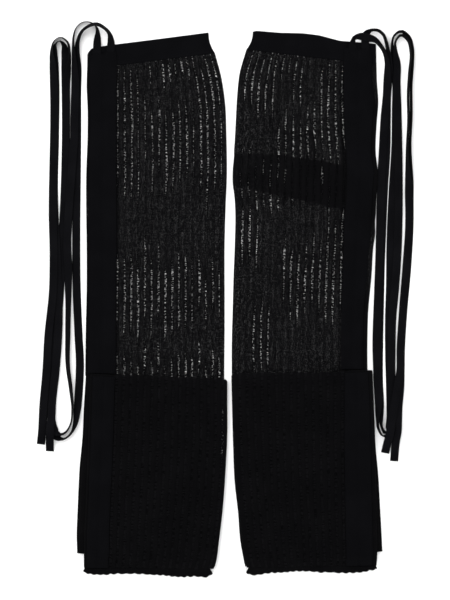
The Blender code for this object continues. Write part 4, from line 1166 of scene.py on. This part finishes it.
# Hems: the tube's open end is overlocked with the knit pulled long, so the edge runs in
# small uneven waves all round, like the edge of a lettuce leaf. It is drawn in where it
# meets the cuff and flares again at its lower corners.
HEM_LENGTH = 5.6
HEM_WAVES = 18
HEM_SCALLOP = 1.2
HEM_SHIFT = (0.35, 9)  # how unevenly the waves follow each other, and how uneven their depth is
HEM_DEPTH = (0.25, 31)
HEM_POINTED = 1.6
HEM_RIPPLE = 0.7
HEM_STEPS = (216, 8)
HEM_ROWS = (  # share of its length, and how thick it is
    (0.0, 0.15), (0.06, 0.5), (0.2, 0.5), (0.4, 0.5), (0.6, 0.5), (0.8, 0.5), (0.95, 0.42),
    (1.0, 0.1),
)
HEM_OUTSIDE = 0.9
HEM_INSIDE = -0.42
HEM_LIP = 0.3
HEM_THIN = 0.4
HEM_EDGES = {  # share of the width from the outer side, and how far the edge hangs lower
    "left": ((0.0, -0.8), (0.05, 0.8), (0.17, 1.2), (0.25, 0.1), (0.36, -0.1), (0.5, 0.6),
             (0.64, 1.8), (0.69, 2.7), (0.79, 3.4), (0.88, 2.6), (0.97, 3.6), (1.0, 1.6)),
    "right": ((0.0, -2.0), (0.05, -0.8), (0.1, 0.6), (0.2, 1.6), (0.28, 1.4), (0.36, 0.4),
              (0.43, 0.8), (0.52, -0.9), (0.62, -1.0), (0.73, 0.0), (0.84, 0.7), (0.95, 2.8),
              (1.0, 1.9)),
}
HEM_DRAWN = {"left": (0.6, 3.6), "right": (0.4, 1.6)}  # at its outer and inner side
HEM_FLARE = {"left": (1.6, 2.8), "right": (1.4, 2.6)}
FLARE_SHAPE = ((0.0, 0.25, 0.6, 0.85, 1.0), (0.0, 0.15, 0.8, 1.0, 0.45))


def hem_at(side, down, reach, share):
    """x and y on a hem, down to 1 at its edge, and reach below the cuff's end."""
    lie = cuff_lies[side]
    width = lie.width(lie.length)
    flare = np.interp(down, *FLARE_SHAPE)
    inset = np.array(HEM_DRAWN[side]) - np.array(HEM_FLARE[side]) * flare
    x, y = lie.at(lie.length, (inset[0] + share * (width - inset.sum())) / width)
    return x, y - reach


for side in ("left", "right"):
    low = cuff_lies[side].low
    around = round_tube(*HEM_STEPS)
    flip = np.select([around < 1, around < 2, around < 3], [around, 1.0, 3 - around], 0.0)
    shift, shifts = HEM_SHIFT
    wave = 0.5 - 0.5 * np.cos(2 * np.pi * (flip * HEM_WAVES + shift * np.sin(shifts * flip)))
    depth, depths = HEM_DEPTH
    wave = 1 - (1 - wave) ** HEM_POINTED * (1 - depth + depth * np.sin(depths * flip + 1))
    edge = np.array(HEM_EDGES[side])
    hang = np.interp(flip, edge[:, 0], edge[:, 1])
    outer = []
    inner = []
    for down, swell in HEM_ROWS:
        reach = SEAM_GAP + down * (HEM_LENGTH + HEM_SCALLOP * wave + hang * down)
        place = partial(hem_at, side, down, reach)
        lift = HEM_RIPPLE * down * (0.5 + 0.5 * np.sin(2 * np.pi * flip * HEM_WAVES))
        lift = lift * (around < 1)
        outer.append(tube_ring(place, around, swell * HEM_OUTSIDE + lift, low))
        inner.append(tube_ring(place, around, HEM_INSIDE + lift + HEM_LIP * (swell < HEM_THIN),
                               low))
    hem = piece(side + "_wavy_hem", [open_tube(outer, inner)], rib_knit,
                side + "_hem")


# The floor: a plain white sheet under the pair, and the studio's soft light: a bright room
# all round, and one wide lamp overhead on the side of the ties' loops.
FLOOR_SIZE = 6.0
FLOOR_DROP = 0.0002
FLOOR_WHITE = (0.92, 0.92, 0.92, 1.0)
FLOOR_ROUGH = 0.9
ROOM_WHITE = (1.0, 1.0, 1.0, 1.0)
ROOM_LIGHT = 1.15
LAMP_POWER = 22.0
LAMP_SIZE = 1.6
LAMP_PLACE = (-0.5, 0.5, 1.5)
LAMP_TILT = math.radians(-18)
bpy.ops.mesh.primitive_plane_add(size=FLOOR_SIZE, location=(0.0, 0.0, -FLOOR_DROP))
floor = bpy.context.object
floor.name = "floor"
paper = bpy.data.materials.new("paper")
paper.use_nodes = True
paper_shader = paper.node_tree.nodes["Principled BSDF"]
paper_shader.inputs["Base Color"].default_value = FLOOR_WHITE
paper_shader.inputs["Roughness"].default_value = FLOOR_ROUGH
floor.data.materials.append(paper)

world = bpy.data.worlds.new("room")
bpy.context.scene.world = world
world.use_nodes = True
background = world.node_tree.nodes["Background"]
background.inputs["Color"].default_value = ROOM_WHITE
background.inputs["Strength"].default_value = ROOM_LIGHT
bpy.ops.object.light_add(type="AREA", location=LAMP_PLACE)
lamp = bpy.context.object
lamp.data.energy = LAMP_POWER
lamp.data.size = LAMP_SIZE
lamp.rotation_euler = (LAMP_TILT, LAMP_TILT, 0.0)
bpy.context.scene.view_settings.view_transform = "Standard"
